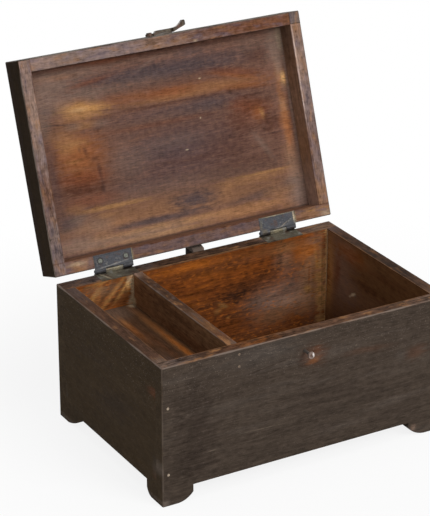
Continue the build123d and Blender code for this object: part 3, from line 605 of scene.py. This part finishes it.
# The patches of the panel's underside, from the lid's rear edge at 0 to its front edge at 203, in layers:
# a later row lies over an earlier one.
panel_rows = [
    # the upper third: slate and brown, with a painted shadow of the front rail along its edge
    (10, 170, 125, 10, 0, SLATE, 0.85), (0, 167, 80, 6, -3, SLATE, 0.6),
    (-108, 172, 26, 12, 0, DUST_AND_PAINTED_LIGHT, 0.5), (-112, 181, 20, 2.5, 0, HONEY, 0.6),
    (-74, 171, 28, 3, 7, RUSSET, 0.5), (0, 187, 150, 4, 0, BROWN, 0.8),
    (-60, 187, 18, 3, 0, RUSSET, 0.7), (108, 170, 18, 10, 0, BROWN, 0.6),
    (80, 155, 36, 5, -9, RUSSET, 0.6), (86, 150, 30, 2.5, -14, ORANGE, 0.6),
    (-122, 152, 12, 5, 0, SLATE, 0.8), (-96, 155, 26, 5, 0, HONEY, 0.5),
    (-12, 178, 16, 2, 25, DUST_AND_PAINTED_LIGHT, 0.35),
    # the long bright streak
    (15, 147, 105, 7.5, -2, ORANGE, 0.6), (-84, 148, 27, 6.0, -5, GOLD, 0.8),
    (-98, 139, 20, 8, 0, HONEY, 0.5), (-76, 143.2, 34, 1.0, -5, BROWN, 0.8),
    (-90, 147, 10, 2.5, 0, CREAM, 0.25), (15, 149, 28, 2.5, 0, RUSSET, 0.7),
    (10, 142, 66, 3.4, 0, HONEY, 0.6), (86, 141, 32, 4.5, -6, ORANGE, 0.8),
    (10, 137, 95, 1.8, 0, BROWN, 0.6), (45, 129, 50, 8, 0, SLATE, 0.8),
    (-20, 130, 50, 6, 0, MAUVE, 0.6),
    # the middle
    (8, 90, 78, 36, 0, MAUVE, 0.95), (10, 96, 62, 10, 0, SLATE, 0.4), (-10, 120, 64, 3, 0, RUSSET, 0.4),
    (-40, 109, 42, 3, 12, UMBER, 0.7), (64, 64, 56, 9, 4, BROWN, 0.45), (20, 80, 60, 4, -3, BROWN, 0.3),
    (-40, 66, 40, 6, 0, MAUVE, 0.5), (70, 84, 30, 12, 0, BROWN, 0.3),
    # the left patch of figured orange, and the smudges on it
    (-96, 100, 36, 40, 0, ORANGE, 0.4), (-98, 108, 26, 19, 0, ORANGE, 0.7),
    (-112, 126, 20, 8, 0, HONEY, 0.5), (-100, 117, 20, 3, 0, HONEY, 0.5),
    (-98, 84, 28, 7, 0, RUSSET, 0.85), (-100, 73, 25, 7, 0, BROWN, 0.9),
    (-90, 61, 32, 7, 0, RUSSET, 0.7), (-90, 107, 2.8, 6, 14, SOOT_AND_PAINTED_SHADE, 0.65),
    (-97, 101, 8, 2.4, 0, SOOT_AND_PAINTED_SHADE, 0.5), (-83, 99, 5, 3, 0, SOOT_AND_PAINTED_SHADE, 0.75), (-79, 88, 2.6, 10, 4, SOOT_AND_PAINTED_SHADE, 0.75),
    (-78, 73, 2.6, 9, 0, SOOT_AND_PAINTED_SHADE, 0.6), (-104, 100, 10, 2.4, 0, GOLD, 0.4),
    (-102, 92, 12, 2, 0, HONEY, 0.5), (-110, 112, 8, 8, 0, HONEY, 0.4), (-92, 93, 7, 1.8, 0, SOOT_AND_PAINTED_SHADE, 0.6),
    (-96, 110, 2.0, 3, 10, SOOT_AND_PAINTED_SHADE, 0.6), (-104, 84, 16, 1.6, 0, BROWN, 0.6),
    (-74, 127, 6, 2, 0, SOOT_AND_PAINTED_SHADE, 0.4), (-108, 136, 24, 0.9, -7, SOOT_AND_PAINTED_SHADE, 0.6),
    (-126, 138, 4, 1.2, 0, SOOT_AND_PAINTED_SHADE, 0.7), (-127, 88, 6, 36, 0, MAUVE, 0.6),
    (-122, 108, 4, 8, 0, SOOT_AND_PAINTED_SHADE, 0.25),
    # the right end
    (92, 120, 26, 9, -12, RUSSET, 0.75), (99, 113, 8, 11, 20, ORANGE, 0.85),
    (104, 110, 3, 7, 15, GOLD, 0.5), (113, 99, 13, 14, 0, BROWN, 0.85), (99, 80, 20, 4, -56, DUST_AND_PAINTED_LIGHT, 0.5),
    (129, 110, 5, 60, 0, HONEY, 0.7), (130, 80, 5, 26, 0, ORANGE, 0.7),
    (133.5, 140, 4.6, 9, 0, GOLD, 0.9), (133.4, 140, 2.4, 6, 0, GILT, 0.8),
    (131, 156, 5, 18, 0, DUST_AND_PAINTED_LIGHT, 0.6), (122, 89.5, 22, 1.1, 0, SOOT_AND_PAINTED_SHADE, 0.55),
    # the lower quarter: honey streaks among slate
    (0, 38, 160, 17, 0, HONEY, 0.55), (-72, 52, 40, 3, 0, GOLD, 0.55), (84, 50, 48, 5.5, 0, HONEY, 0.8),
    (52, 45, 10, 6, 30, HONEY, 0.6), (100, 53, 38, 1.6, 0, GOLD, 0.4),
    (-120, 44, 16, 10, 0, SLATE, 0.75), (15, 42, 28, 10, 0, SLATE, 0.9),
    (-25, 30, 66, 4.4, 0, SLATE, 0.85), (95, 33, 44, 5, 5, SLATE, 0.6), (124, 38, 13, 5, 0, SLATE, 0.5),
    (-85, 36, 34, 5, 0, HONEY, 0.5), (-30, 22.5, 100, 3.8, 0, GOLD, 0.6),
    (-35, 16.5, 84, 2.8, 0, GOLD, 0.6), (80, 22, 54, 5, 0, HONEY, 0.8),
    (-40, 19.4, 64, 1.0, 0, BROWN, 0.5), (70, 16, 64, 1.4, 0, BROWN, 0.6),
    (132, 26, 8, 15, 0, SLATE, 0.7), (15, 155, 62, 12, 0, BROWN, 0.25), (55, 92, 34, 20, 0, BROWN, 0.3),
    (0, 120, 60, 10, 0, BROWN, 0.15), (-94, 82, 26, 12, 0, RUSSET, 0.5),
    (-96, 98, 26, 14, 0, ORANGE, 0.55), (-24, 141, 26, 5, 0, BROWN, 0.3),
    # paler margins and corners, painted lighter against the shade of the rails, among other patches
    (-30, 18, 40, 6, 0, GOLD, 0.25), (60, 19, 40, 5, 0, HONEY, 0.6), (-90, 20, 40, 6, 0, HONEY, 0.4),
    (128, 60, 10, 20, 0, HONEY, 0.4), (128, 98, 8, 14, 0, ORANGE, 0.5), (-70, 160, 34, 5, 0, DUST_AND_PAINTED_LIGHT, 0.4),
    (-86, 141, 28, 4, -4, HONEY, 0.7), (-88, 145, 26, 6, -5, GOLD, 0.4),
    (60, 146, 44, 5, -3, HONEY, 0.5), (10, 146, 30, 6, 0, ORANGE, 0.4),
    (-104, 116, 16, 8, 0, GOLD, 0.25), (-70, 188, 50, 3, 0, RUSSET, 0.6),
    (-106, 180, 22, 3, 0, ORANGE, 0.5), (-50, 88, 24, 26, 0, DUST_AND_PAINTED_LIGHT, 0.22),
    (-20, 162, 50, 8, 0, DUST_AND_PAINTED_LIGHT, 0.22), (0, 60, 120, 9, 0, DUST_AND_PAINTED_LIGHT, 0.25), (0, 101, 44, 8, 0, DUST_AND_PAINTED_LIGHT, 0.2),
    (0, 124, 80, 8, 0, DUST_AND_PAINTED_LIGHT, 0.12), (-40, 19, 80, 8, 0, DUST_AND_PAINTED_LIGHT, 0.45), (70, 20, 36, 7, 0, HONEY, 0.5),
    (0, 184, 120, 4, 0, DUST_AND_PAINTED_LIGHT, 0.25), (128, 166, 12, 14, 0, DUST_AND_PAINTED_LIGHT, 0.4), (-80, 162, 22, 6, 0, DUST_AND_PAINTED_LIGHT, 0.5),
    (-100, 38, 28, 8, 0, DUST_AND_PAINTED_LIGHT, 0.3), (-122, 166, 24, 24, 0, DUST_AND_PAINTED_LIGHT, 0.6),
    (-130, 140, 10, 16, 0, DUST_AND_PAINTED_LIGHT, 0.7), (130, 130, 6, 12, 0, RUSSET, 0.5),
    (-90, 182, 40, 8, 0, DUST_AND_PAINTED_LIGHT, 0.5), (-112, 22, 38, 9, 0, DUST_AND_PAINTED_LIGHT, 0.7), (-50, 19, 44, 6, 0, DUST_AND_PAINTED_LIGHT, 0.35),
    (134, 178, 16, 22, 0, DUST_AND_PAINTED_LIGHT, 0.8), (132, 30, 16, 26, 0, DUST_AND_PAINTED_LIGHT, 0.8), (108, 32, 20, 8, 0, HONEY, 0.5),
    (104, 178, 20, 10, 0, DUST_AND_PAINTED_LIGHT, 0.3), (132, 62, 10, 20, 0, DUST_AND_PAINTED_LIGHT, 0.4),
    (86, 112, 22, 16, 0, RUSSET, 0.4), (78, 104, 12, 16, 0, BROWN, 0.5),
    (98, 124, 15, 10, 0, BROWN, 0.5), (88, 138, 24, 7, -8, BROWN, 0.25),
    (-40, 90, 30, 12, 0, DUST_AND_PAINTED_LIGHT, 0.15),
    # the strip beside the right rail, and smaller paler and darker places
    (137.6, 122, 1.8, 78, 0, DUST_AND_PAINTED_LIGHT, 0.7), (-86, 132, 14, 4, 0, HONEY, 0.8),
    (-124, 160, 12, 10, 0, BLOOM_AND_PAINTED_LIGHT, 0.35), (-108, 46, 12, 5, 0, DUST_AND_PAINTED_LIGHT, 0.6),
    (-87, 36, 14, 12, 0, DUST_AND_PAINTED_LIGHT, 0.35), (-8, 23, 12, 4, 0, SLATE, 0.4), (68, 23, 16, 4, 0, BROWN, 0.25),
    (114, 16, 14, 4, 0, HONEY, 0.4), (-99, 132.5, 10, 4, 0, DUST_AND_PAINTED_LIGHT, 0.5), (-70, 131, 10, 4, 0, DUST_AND_PAINTED_LIGHT, 0.5),
    (-72, 155, 12, 5, 0, DUST_AND_PAINTED_LIGHT, 0.4), (-103, 159, 14, 8, 0, BLOOM_AND_PAINTED_LIGHT, 0.25),
    (-110, 56, 12, 5, 0, HONEY, 0.5), (-119, 180, 10, 6, 0, BLOOM_AND_PAINTED_LIGHT, 0.25),
    (-79, 45, 12, 4, 0, HONEY, 0.6), (-87, 28, 14, 5, 0, HONEY, 0.5), (35, 182, 18, 5, 0, SLATE, 0.5),
    (121, 85, 8, 8, 0, BROWN, 0.3), (-81, 99, 8, 6, 0, BROWN, 0.3), (133, 131, 5, 7, 0, DUST_AND_PAINTED_LIGHT, 0.5),
    # painted light in the shaded corner by the right rail
    (136, 180, 4, 14, 0, CREAM, 0.3),
    # specks of pale dust
    (42, 155, 1.5, 0.7, 0, CREAM, 0.7), (36, 117.5, 1.0, 1.0, 0, CREAM, 0.7),
    (16, 90, 2.0, 0.7, 0, CREAM, 0.6),
]
dress(lid_wood("panel_wood", False, 5.0, LIP, rows=panel_rows, field=True), "lid_panel")
front_lip = [
    (110, 197, 100, 14, 0, LIP_RED, 1.0), (-13, 197, 7, 5, 0, SOOT_AND_PAINTED_SHADE, 0.6),
    (34, 192, 3, 1.5, 0, CREAM, 0.4), (0, 197, 34, 12, 0, HONEY, 0.3),
    (-112, 197, 40, 12, 0, DUST_AND_PAINTED_LIGHT, 0.5), (-134, 197, 24, 12, 0, BLOOM_AND_PAINTED_LIGHT, 0.35),
    (50, 197, 26, 12, 0, LIP_RED, 0.3),
]
dress(lid_wood("front_rail_wood", False, 23.0, LIP, lip_rows=front_lip, base=BROWN), "lid_front_rail")
rear_lip = [
    (-122, 6, 14, 12, 0, HONEY, 0.75), (-120, 7, 12, 5, 0, BLOOM_AND_PAINTED_LIGHT, 0.5), (-128, 8, 10, 2, 0, CREAM, 0.4),
    (130, 6, 36, 12, 0, HONEY, 0.6), (146, 3, 8, 4, 0, CREAM, 0.35), (118, 3, 14, 1.2, 0, BROWN, 0.6),
    (138, 8.5, 16, 1.2, 0, GOLD, 0.6), (0, 11.6, 150, 0.9, 0, LIP_RED, 0.9),
]
bare_end = 20.7         # from a hinge's middle to the bare wood at the end of its mortise
mortise_ends = [(x + bare_end, 5, 0.9, 9, 0, CREAM, 1.0) for x in (-hinge_x, hinge_x)]
dress(lid_wood("rear_rail_wood", False, 37.0, LIP_REAR, lip_rows=rear_lip, bare_rows=mortise_ends),
      "lid_rear_rail")
left_lip = [
    (-145, 78, 12, 28, 0, UMBER, 0.9), (-145, 155, 12, 44, 0, DUST_AND_PAINTED_LIGHT, 0.8),
    (-145, 20, 12, 12, 0, SLATE, 0.25), (-145, 40, 12, 9, 0, DUST_AND_PAINTED_LIGHT, 0.4),
    (-138.4, 100, 0.8, 90, 0, RUSSET, 0.6), (-145, 152, 12, 46, 0, BLOOM_AND_PAINTED_LIGHT, 0.4),
    (-145, 196, 12, 12, 0, BLOOM_AND_PAINTED_LIGHT, 0.4),
]
dress(lid_wood("left_rail_wood", True, 47.0, LIP, lip_rows=left_lip), "lid_left_rail")
right_lip = [
    (145, 22, 12, 26, 0, HONEY, 0.6), (145, 76, 12, 24, 0, UMBER, 0.4),
    (145, 152, 12, 26, 0, DUST_AND_PAINTED_LIGHT, 0.9), (145, 190, 12, 14, 0, HONEY, 0.5),
    (rail_x + 0.9, 145, 1.1, 50, 0, PEARL, 1.0), (145, 189.6, 12, 0.8, 0, BLOOM_AND_PAINTED_LIGHT, 0.6),
    (rail_x + 1.6, 70, 1.2, 40, 0, BROWN, 0.4), (145, 150, 12, 22, 0, BLOOM_AND_PAINTED_LIGHT, 0.45),
]
right_rail_rows = [
    (140, 182, 8, 50, 0, BROWN, 0.5), (140, 60, 8, 34, 0, HONEY, 0.35),
    (140, 24, 8, 34, 0, BLOOM_AND_PAINTED_LIGHT, 0.85), (140, 186, 8, 22, 0, DUST_AND_PAINTED_LIGHT, 0.3),
]
dress(lid_wood("right_rail_wood", True, 59.0, LIP, rows=right_rail_rows, lip_rows=right_lip, base=RAIL),
      "lid_right_rail")
corner_lip = [
    (145, 197, 12, 12, 0, RIM_GREY, 0.8), (145, 191.4, 12, 0.7, 0, SOOT_AND_PAINTED_SHADE, 0.8),
    (rail_x + 0.6, 197, 0.7, 12, 0, SOOT_AND_PAINTED_SHADE, 0.7),
]
dress(lid_wood("corner_wood", True, 67.0, DUST_AND_PAINTED_LIGHT, lip_rows=corner_lip), "lid_corner_block")


def till_wood(name, axes, seed, tone, rows=(), top_rows=None):
    """The divider or the till's floor, with the divider's rubbed top."""
    paint = Paint(name, axes, seed=seed)
    grain = Grain(paint)
    fields = dict(zip(axes, (paint.u, paint.v, paint.w)))
    to_top = rim_z - fields[Z]
    paint.lay(tone)
    spots(paint, paint.flat(paint.u, paint.v), rows, grain.ragged(0.3, 0.5))
    if top_rows:
        top = to_top.rise(*TOP_FADE)
        top_place = paint.flat(fields[X], fields[Y])
        rubbed_rim(paint, grain, top_place, top, top_rows, 0.65, RIM_GREY, 0.5)
    paint.shade(grain.figure(0.2, 0.24, 0.4, 0.3) * 1.4 + LEVEL)
    if top_rows:
        to_side = (fields[X] - divider_low.x).least(fields[X] * -1.0 + divider_high.x)
        arrises(paint, to_side.most(to_top), grain.wear, WORN, WEAR_REACH, 0.5)
    return paint.finish(grain.streaks * 0.15 + 0.6, 0.02, height=grain.height())


divider_rows = [
    (60, 124, 30, 12, 0, UMBER, 0.3), (-20, 112, 60, 6, -3, WALL_DARK, 0.5),
    (10, 128, 50, 5, 3, BROWN, 0.4), (79, 122, 7, 18, 0, HONEY, 0.45),
    # painted light in the corner by the back wall
    (85.4, 120, 1.5, 24, 0, CREAM, 0.9), (84, 109, 4, 5, 0, CREAM, 0.7),
    (60, 122, 16, 14, 0, HONEY, 0.25),
]
divider_top = [
    (-72, -40, 9, 36, 0, HONEY, 0.25), (-72, -86, 9, 7, 0, DUST_AND_PAINTED_LIGHT, 0.4),
    (-72, 35, 9, 50, 0, RIM_DARK, 0.6), (-72, -72, 9, 12, 0, LIP_RED, 0.5),
    (-72, 84, 9, 10, 0, DUST_AND_PAINTED_LIGHT, 0.6), (-76, 82, 2.4, 6, 0, BLOOM_AND_PAINTED_LIGHT, 0.4),
]
dress(till_wood("divider_wood", (Y, Z, X), 91.0, DIVIDER, divider_rows, divider_top), "till_divider")
till_rows = [
    (0, -84, 95, 5.5, 0, HONEY, 0.45), (0, -84, 95, 5.0, 0, ORANGE, 0.35),
    (-35, -84, 60, 3, 0, AMBER, 0.5), (40, -104, 34, 4, 0, ORANGE, 0.5),
    (55, -104, 14, 3, 0, HONEY, 0.4), (-20, -97, 80, 3.5, 0, WALL_DARK, 0.5),
    (78, -104, 22, 24, 0, DUST_AND_PAINTED_LIGHT, 0.4), (83, -81, 5, 4, 0, CREAM, 0.5),
    (12, -104, 20, 12, 0, WALL_DARK, 0.4), (-60, -112, 40, 14, 0, RIM_GREY, 0.4),
]
dress(till_wood("till_floor_wood", (Y, X, Z), 97.0, TILL, till_rows), "till_floor")
dress(carcase("stop_wood", (Z, X, Y), 83.0, STAIN_DARK, None), "lid_stop")

# ---------------------------------------------------------------- metal

IRON = screen(68, 69, 74)
IRON_WORN = screen(128, 126, 122)
IRON_OLIVE = screen(98, 92, 78)
IRON_DARK = screen(48, 49, 50)
# pale olive for worn edges, and also for painted highlights on the knuckles
OLIVE_WEAR_AND_HIGHLIGHT = screen(142, 132, 106)
RUST = screen(78, 54, 42)
HOOK = screen(58, 45, 34)
HOOK_RED = screen(84, 46, 32)
STUD_HEAD = screen(126, 108, 98)
STUD_HIGHLIGHT = screen(252, 244, 238)
NAIL_PALE = screen(116, 118, 108)
NAIL_CORNER = screen(176, 158, 138)
NAIL_WIRE = screen(124, 106, 90)

head_r = 2.1            # head of a hinge's nail
nail_shade_r = 3.4      # the dark ring round it


def metal(name, colour, worn, roughness=0.45, metallic=0.5, seed=0.0, holes=(), rows=()):
    """Old metal: clouded, flecked and rubbed bright in places, dark round its nails."""
    paint = Paint(name, (across_lid, depth_dir, height_dir), lid_corner, seed)
    cloud = paint.noise((7, 7, 7), 4.0, 2.6, 1.0)
    fleck = paint.noise((1.4, 1.4, 1.4), 3.0, 2.6, 2.0)
    brushed = paint.noise((9, 0.8, 0.8), 2.0, 2.4, 3.0)
    ragged = (cloud - 0.5) * 0.8
    place = paint.flat(paint.u, paint.v)
    paint.lay(colour)
    paint.lay(RUST, cloud.rise(0.45, 0.0) * 0.6)
    paint.lay(worn, cloud.rise(0.6, 1.1) * 0.7)
    for u, v in holes:
        around = paint.spot(place, (u, v), (nail_shade_r, nail_shade_r), 0.0, ragged * 0.3, 0.6)
        paint.lay(SOOT_AND_PAINTED_SHADE, around * 0.7)
    spots(paint, place, rows, ragged)
    paint.shade((fleck - 0.5) * 0.55 + (brushed - 0.5) * 0.6 + 1.0)
    height = fleck * 0.6 + brushed * 0.4
    return paint.finish(cloud * 0.25 + roughness, 0.4, metallic, height)


def stud_metal():
    """The stud's shank is as dull as the wood; its dished head has a painted highlight, a bright crescent
    on the right.
    """
    low, high = [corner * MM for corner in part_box("latch_stud")]
    centre = ((low.x + high.x) / 2, (low.z + high.z) / 2)
    paint = Paint("stud_steel", (X, Z, Y), seed=29.0)
    cloud = paint.noise((2, 2, 2), 3.0, 2.6, 1.0)
    place = paint.flat(paint.u - centre[0], paint.v - centre[1])
    head = (paint.w - low.y).rise(2.4, 2.0)
    paint.lay(HAZE)
    paint.lay(STUD_HEAD, head)
    dish = (-0.4, 0.2, 1.3, 1.3, 0, SCUFF, 0.8)
    # painted highlight
    crescent = (1.7, 0.6, 0.8, 2.4, 8, STUD_HIGHLIGHT, 1.0)
    spots(paint, place, [dish, crescent], 0.0, head)
    paint.shade((cloud - 0.5) * 0.3 + 1.0)
    return paint.finish(cloud * 0.2 + 0.35, 0.3, 0.25)


def heads(node):
    """The two nails of a hinge's leaf, as places on the lid in millimetres across and along it."""
    low, high = [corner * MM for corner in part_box(node)]
    depth = sum(lid_extent(node, depth_dir)) / 2
    along = (depth - lid_rear) * MM
    return [(low.x + head_r, along), (high.x - head_r, along)]


# On the upper leaves, the dark line at -3.6 is painted shade on the underside of the knuckles.
left_leaf_rows = [
    (-hinge_x, 0.5, 19, 0.7, 5.5, IRON_WORN, 0.8), (-hinge_x - 8, -1.6, 10, 0.6, 4, IRON_DARK, 0.9),
    (-hinge_x - 12, 1.2, 6, 0.5, 4, IRON_DARK, 0.7), (-hinge_x + 14, -1.2, 7, 0.9, 6, IRON_DARK, 0.9),
    (-hinge_x - 19, 6, 1.6, 8, 6, IRON_DARK, 0.7), (-hinge_x + 19.5, 6, 0.8, 7, 0, IRON_DARK, 0.5),
    (-hinge_x, -3.6, 20, 0.8, 0, SOOT_AND_PAINTED_SHADE, 0.9), (-hinge_x, 11.3, 18, 0.8, 0, IRON_DARK, 0.5),
]
right_leaf_rows = [
    (hinge_x - 2, -1.4, 16, 0.8, 9, IRON_WORN, 0.7), (hinge_x + 8, 1.8, 7, 0.6, 26, CREAM, 0.22),
    (hinge_x + 19, 6, 1.2, 6, 0, CREAM, 0.8), (hinge_x, 11.6, 20, 0.5, 0, OLIVE_WEAR_AND_HIGHLIGHT, 0.8),
    (hinge_x - 18, 5, 1.5, 7, 0, IRON_OLIVE, 0.7), (hinge_x - 15, -2.5, 4, 2.0, 30, IRON_OLIVE, 0.8),
    (hinge_x + 10, -1.6, 10, 1.0, 0, IRON_DARK, 0.8), (hinge_x, -3.6, 20, 0.8, 0, SOOT_AND_PAINTED_SHADE, 0.9),
]
# On the lower leaves: a painted highlight on the middle knuckle at -4, painted shadow in the slits under
# the outer knuckles at about -6, and rust and chips.
left_lower_rows = [
    (-hinge_x + 2, -4.0, 8.5, 1.6, 2, OLIVE_WEAR_AND_HIGHLIGHT, 0.9), (-hinge_x - 14, -6.4, 9, 0.9, 0, SOOT_AND_PAINTED_SHADE, 0.55),
    (-hinge_x + 15, -6.2, 8, 0.9, 0, SOOT_AND_PAINTED_SHADE, 0.9), (-hinge_x - 13, -8.5, 5, 0.7, -40, CREAM, 0.5),
    (-hinge_x - 10, -8.5, 5, 0.6, -40, RUST, 0.8), (-hinge_x + 14, -8.5, 12, 3, 0, SOOT_AND_PAINTED_SHADE, 0.6),
    (-hinge_x + 16, -12, 10, 3, 0, RUST, 0.6),
]
right_lower_rows = [
    (hinge_x - 2, -4.0, 9, 1.4, 3, OLIVE_WEAR_AND_HIGHLIGHT, 0.9), (hinge_x - 16, -6.4, 7, 0.9, 0, SOOT_AND_PAINTED_SHADE, 0.8),
    (hinge_x + 14, -6.2, 8, 0.9, 0, SOOT_AND_PAINTED_SHADE, 0.9), (hinge_x - 12, -8.8, 4, 1.2, 10, RUST, 0.7),
    (hinge_x + 9, -6.5, 4, 1.6, 20, RUST, 0.6),
]
for side, seed, upper_rows, lower_rows in (
    ("left", 7.0, left_leaf_rows, left_lower_rows),
    ("right", 9.0, right_leaf_rows, right_lower_rows),
):
    holes = heads("hinge_left_lip_nails") if side == "left" else ()
    upper = metal(f"{side}_leaf_iron", IRON, IRON_WORN, seed=seed, holes=holes, rows=upper_rows)
    dress(upper, f"hinge_{side}_upper_leaf")
    lower = metal(f"{side}_lower_iron", IRON_OLIVE, IRON_WORN, seed=seed + 4, rows=lower_rows)
    dress(lower, f"hinge_{side}_lower_leaf", f"hinge_{side}_rim_nails")
    dress(metal(f"{side}_pin_iron", IRON_WORN, CREAM, seed=15.0), f"hinge_{side}_pin")
dress(metal("left_nail_iron", NAIL_PALE, IRON, seed=19.0), "hinge_left_lip_nails")
dress(metal("right_nail_iron", IRON, IRON_WORN, seed=9.0, rows=right_leaf_rows), "hinge_right_lip_nails")
dress(stud_metal(), "latch_stud")
hook_rows = [
    (-12, 198, 5, 6, 0, RUST, 0.8), (-1, 204, 9, 1.0, 8, IRON_WORN, 0.3),
    (22, 206, 6, 4, 0, HOOK_RED, 0.6), (30, 211, 2.4, 1.6, 30, GOLD, 0.5),
    (6, 202, 8, 2, 0, IRON_OLIVE, 0.35),
]
dress(metal("hook_iron", HOOK, IRON_OLIVE, 0.4, 0.4, 31.0, rows=hook_rows), "latch_hook", "latch_pivot")
dress(metal("corner_nail_steel", NAIL_CORNER, DUST_AND_PAINTED_LIGHT, 0.35, 0.6, 37.0), "corner_nails")
dress(metal("wire_nail_steel", NAIL_WIRE, RUST, 0.4, 0.5, 41.0),
      "divider_nails", "bottom_nails", "foot_nails", "stop_nails", "lid_nails")

# ---------------------------------------------------------------- floor, light and camera


def seen_white(tree, shader, white_kind, share):
    """Mix a shader with plain white, by a share, for what the camera sees straight or mirrored."""
    path = new_node(tree, "ShaderNodeLightPath")
    seen = new_node(tree, "ShaderNodeMath", operation="MAXIMUM")
    tree.links.new(path.outputs["Is Camera Ray"], seen.inputs[0])
    tree.links.new(path.outputs["Is Glossy Ray"], seen.inputs[1])
    clear = new_node(tree, "ShaderNodeMath", operation="MAXIMUM")
    tree.links.new(seen.outputs[0], clear.inputs[0])
    tree.links.new(path.outputs["Is Transmission Ray"], clear.inputs[1])
    part = new_node(tree, "ShaderNodeMath", operation="MULTIPLY")
    tree.links.new(clear.outputs[0], part.inputs[0])
    tree.links.new(share, part.inputs[1])
    white = new_node(tree, white_kind)
    white.inputs["Color"].default_value = (1, 1, 1, 1)
    white.inputs["Strength"].default_value = 1.0
    mix = new_node(tree, "ShaderNodeMixShader")
    tree.links.new(part.outputs[0], mix.inputs[0])
    tree.links.new(shader, mix.inputs[1])
    tree.links.new(white.outputs[0], mix.inputs[2])
    return mix.outputs[0]


def distance_share(tree, near, start, end):
    """A share that grows with the distance from the object, in metres, until it is 1."""
    place = new_node(tree, "ShaderNodeTexCoord")
    length = new_node(tree, "ShaderNodeVectorMath", operation="LENGTH")
    tree.links.new(place.outputs["Object"], length.inputs[0])
    fade = new_node(tree, "ShaderNodeMapRange", interpolation_type="SMOOTHSTEP")
    tree.links.new(length.outputs["Value"], fade.inputs["Value"])
    fade.inputs["From Min"].default_value = start
    fade.inputs["From Max"].default_value = end
    fade.inputs["To Min"].default_value = near
    return fade.outputs["Result"]


floor_size = 15.0       # half its side, in metres
floor_colour = (0.85, 0.85, 0.85, 1)
floor_white = 0.86      # share of plain white near the object; the rest is lit and takes the shadow
fade_start = 0.2        # metres from the origin at which the floor begins to turn plain white
fade_end = 0.55         # and at which it is
room_light = 0.28       # strength of the even light from all round

floor_mesh = bpy.data.meshes.new("floor")
floor_mesh.from_pydata([(-floor_size, -floor_size, 0), (floor_size, -floor_size, 0),
                        (floor_size, floor_size, 0), (-floor_size, floor_size, 0)], [], [(0, 1, 2, 3)])
floor = bpy.data.objects.new("floor", floor_mesh)
bpy.context.scene.collection.objects.link(floor)
floor_material = bpy.data.materials.new("pale_floor")
floor_material.use_nodes = True
floor_tree = floor_material.node_tree
floor_tree.nodes.remove(floor_tree.nodes["Principled BSDF"])
diffuse = floor_tree.nodes.new("ShaderNodeBsdfDiffuse")
diffuse.inputs["Color"].default_value = floor_colour
floor_seen = seen_white(floor_tree, diffuse.outputs[0], "ShaderNodeEmission",
                        distance_share(floor_tree, floor_white, fade_start, fade_end))
floor_tree.links.new(floor_seen, floor_tree.nodes["Material Output"].inputs["Surface"])
floor_mesh.materials.append(floor_material)

world = bpy.data.worlds.new("studio")
world.use_nodes = True
bpy.context.scene.world = world
room = world.node_tree.nodes["Background"]
room.inputs["Color"].default_value = (1, 1, 1, 1)
room.inputs["Strength"].default_value = room_light
everywhere = world.node_tree.nodes.new("ShaderNodeValue")
everywhere.outputs[0].default_value = 1.0
world_seen = seen_white(world.node_tree, room.outputs[0], "ShaderNodeBackground", everywhere.outputs[0])
world.node_tree.links.new(world_seen, world.node_tree.nodes["World Output"].inputs["Surface"])

middle = (cad_low + cad_high) / 2


def softbox(name, place, size, strength):
    """A square lamp that faces the middle of the object."""
    lamp = bpy.data.lights.new(name, "AREA")
    lamp.size = size
    lamp.energy = strength
    item = bpy.data.objects.new(name, lamp)
    item.location = place
    item.rotation_euler = (middle - Vector(place)).to_track_quat("-Z", "Y").to_euler()
    bpy.context.scene.collection.objects.link(item)


softbox("key", (0.8, -2.1, 1.9), 1.4, 50.0)
softbox("top", (-0.2, -0.3, 2.4), 1.6, 16.0)
softbox("fill", (-2.2, -0.6, 0.9), 1.4, 3.0)
softbox("rear", (0.7, 2.4, 0.7), 1.4, 16.0)

# The camera, fitted to the photograph's edges.
lens_px = 2273.7
frame_long_px = 516.0
camera_place = (-0.98116, -1.63319, 1.01235)
camera_tilt = 66.1055
camera_turn = -29.9945
camera = bpy.data.cameras.new("camera")
camera.sensor_width = 36.0
camera.lens = lens_px * camera.sensor_width / frame_long_px
camera.clip_end = 100.0
view = bpy.data.objects.new("camera", camera)
view.location = camera_place
view.rotation_euler = (radians(camera_tilt), 0.0, radians(camera_turn))
bpy.context.scene.collection.objects.link(view)
bpy.context.scene.camera = view
bpy.context.scene.view_settings.view_transform = "Standard"
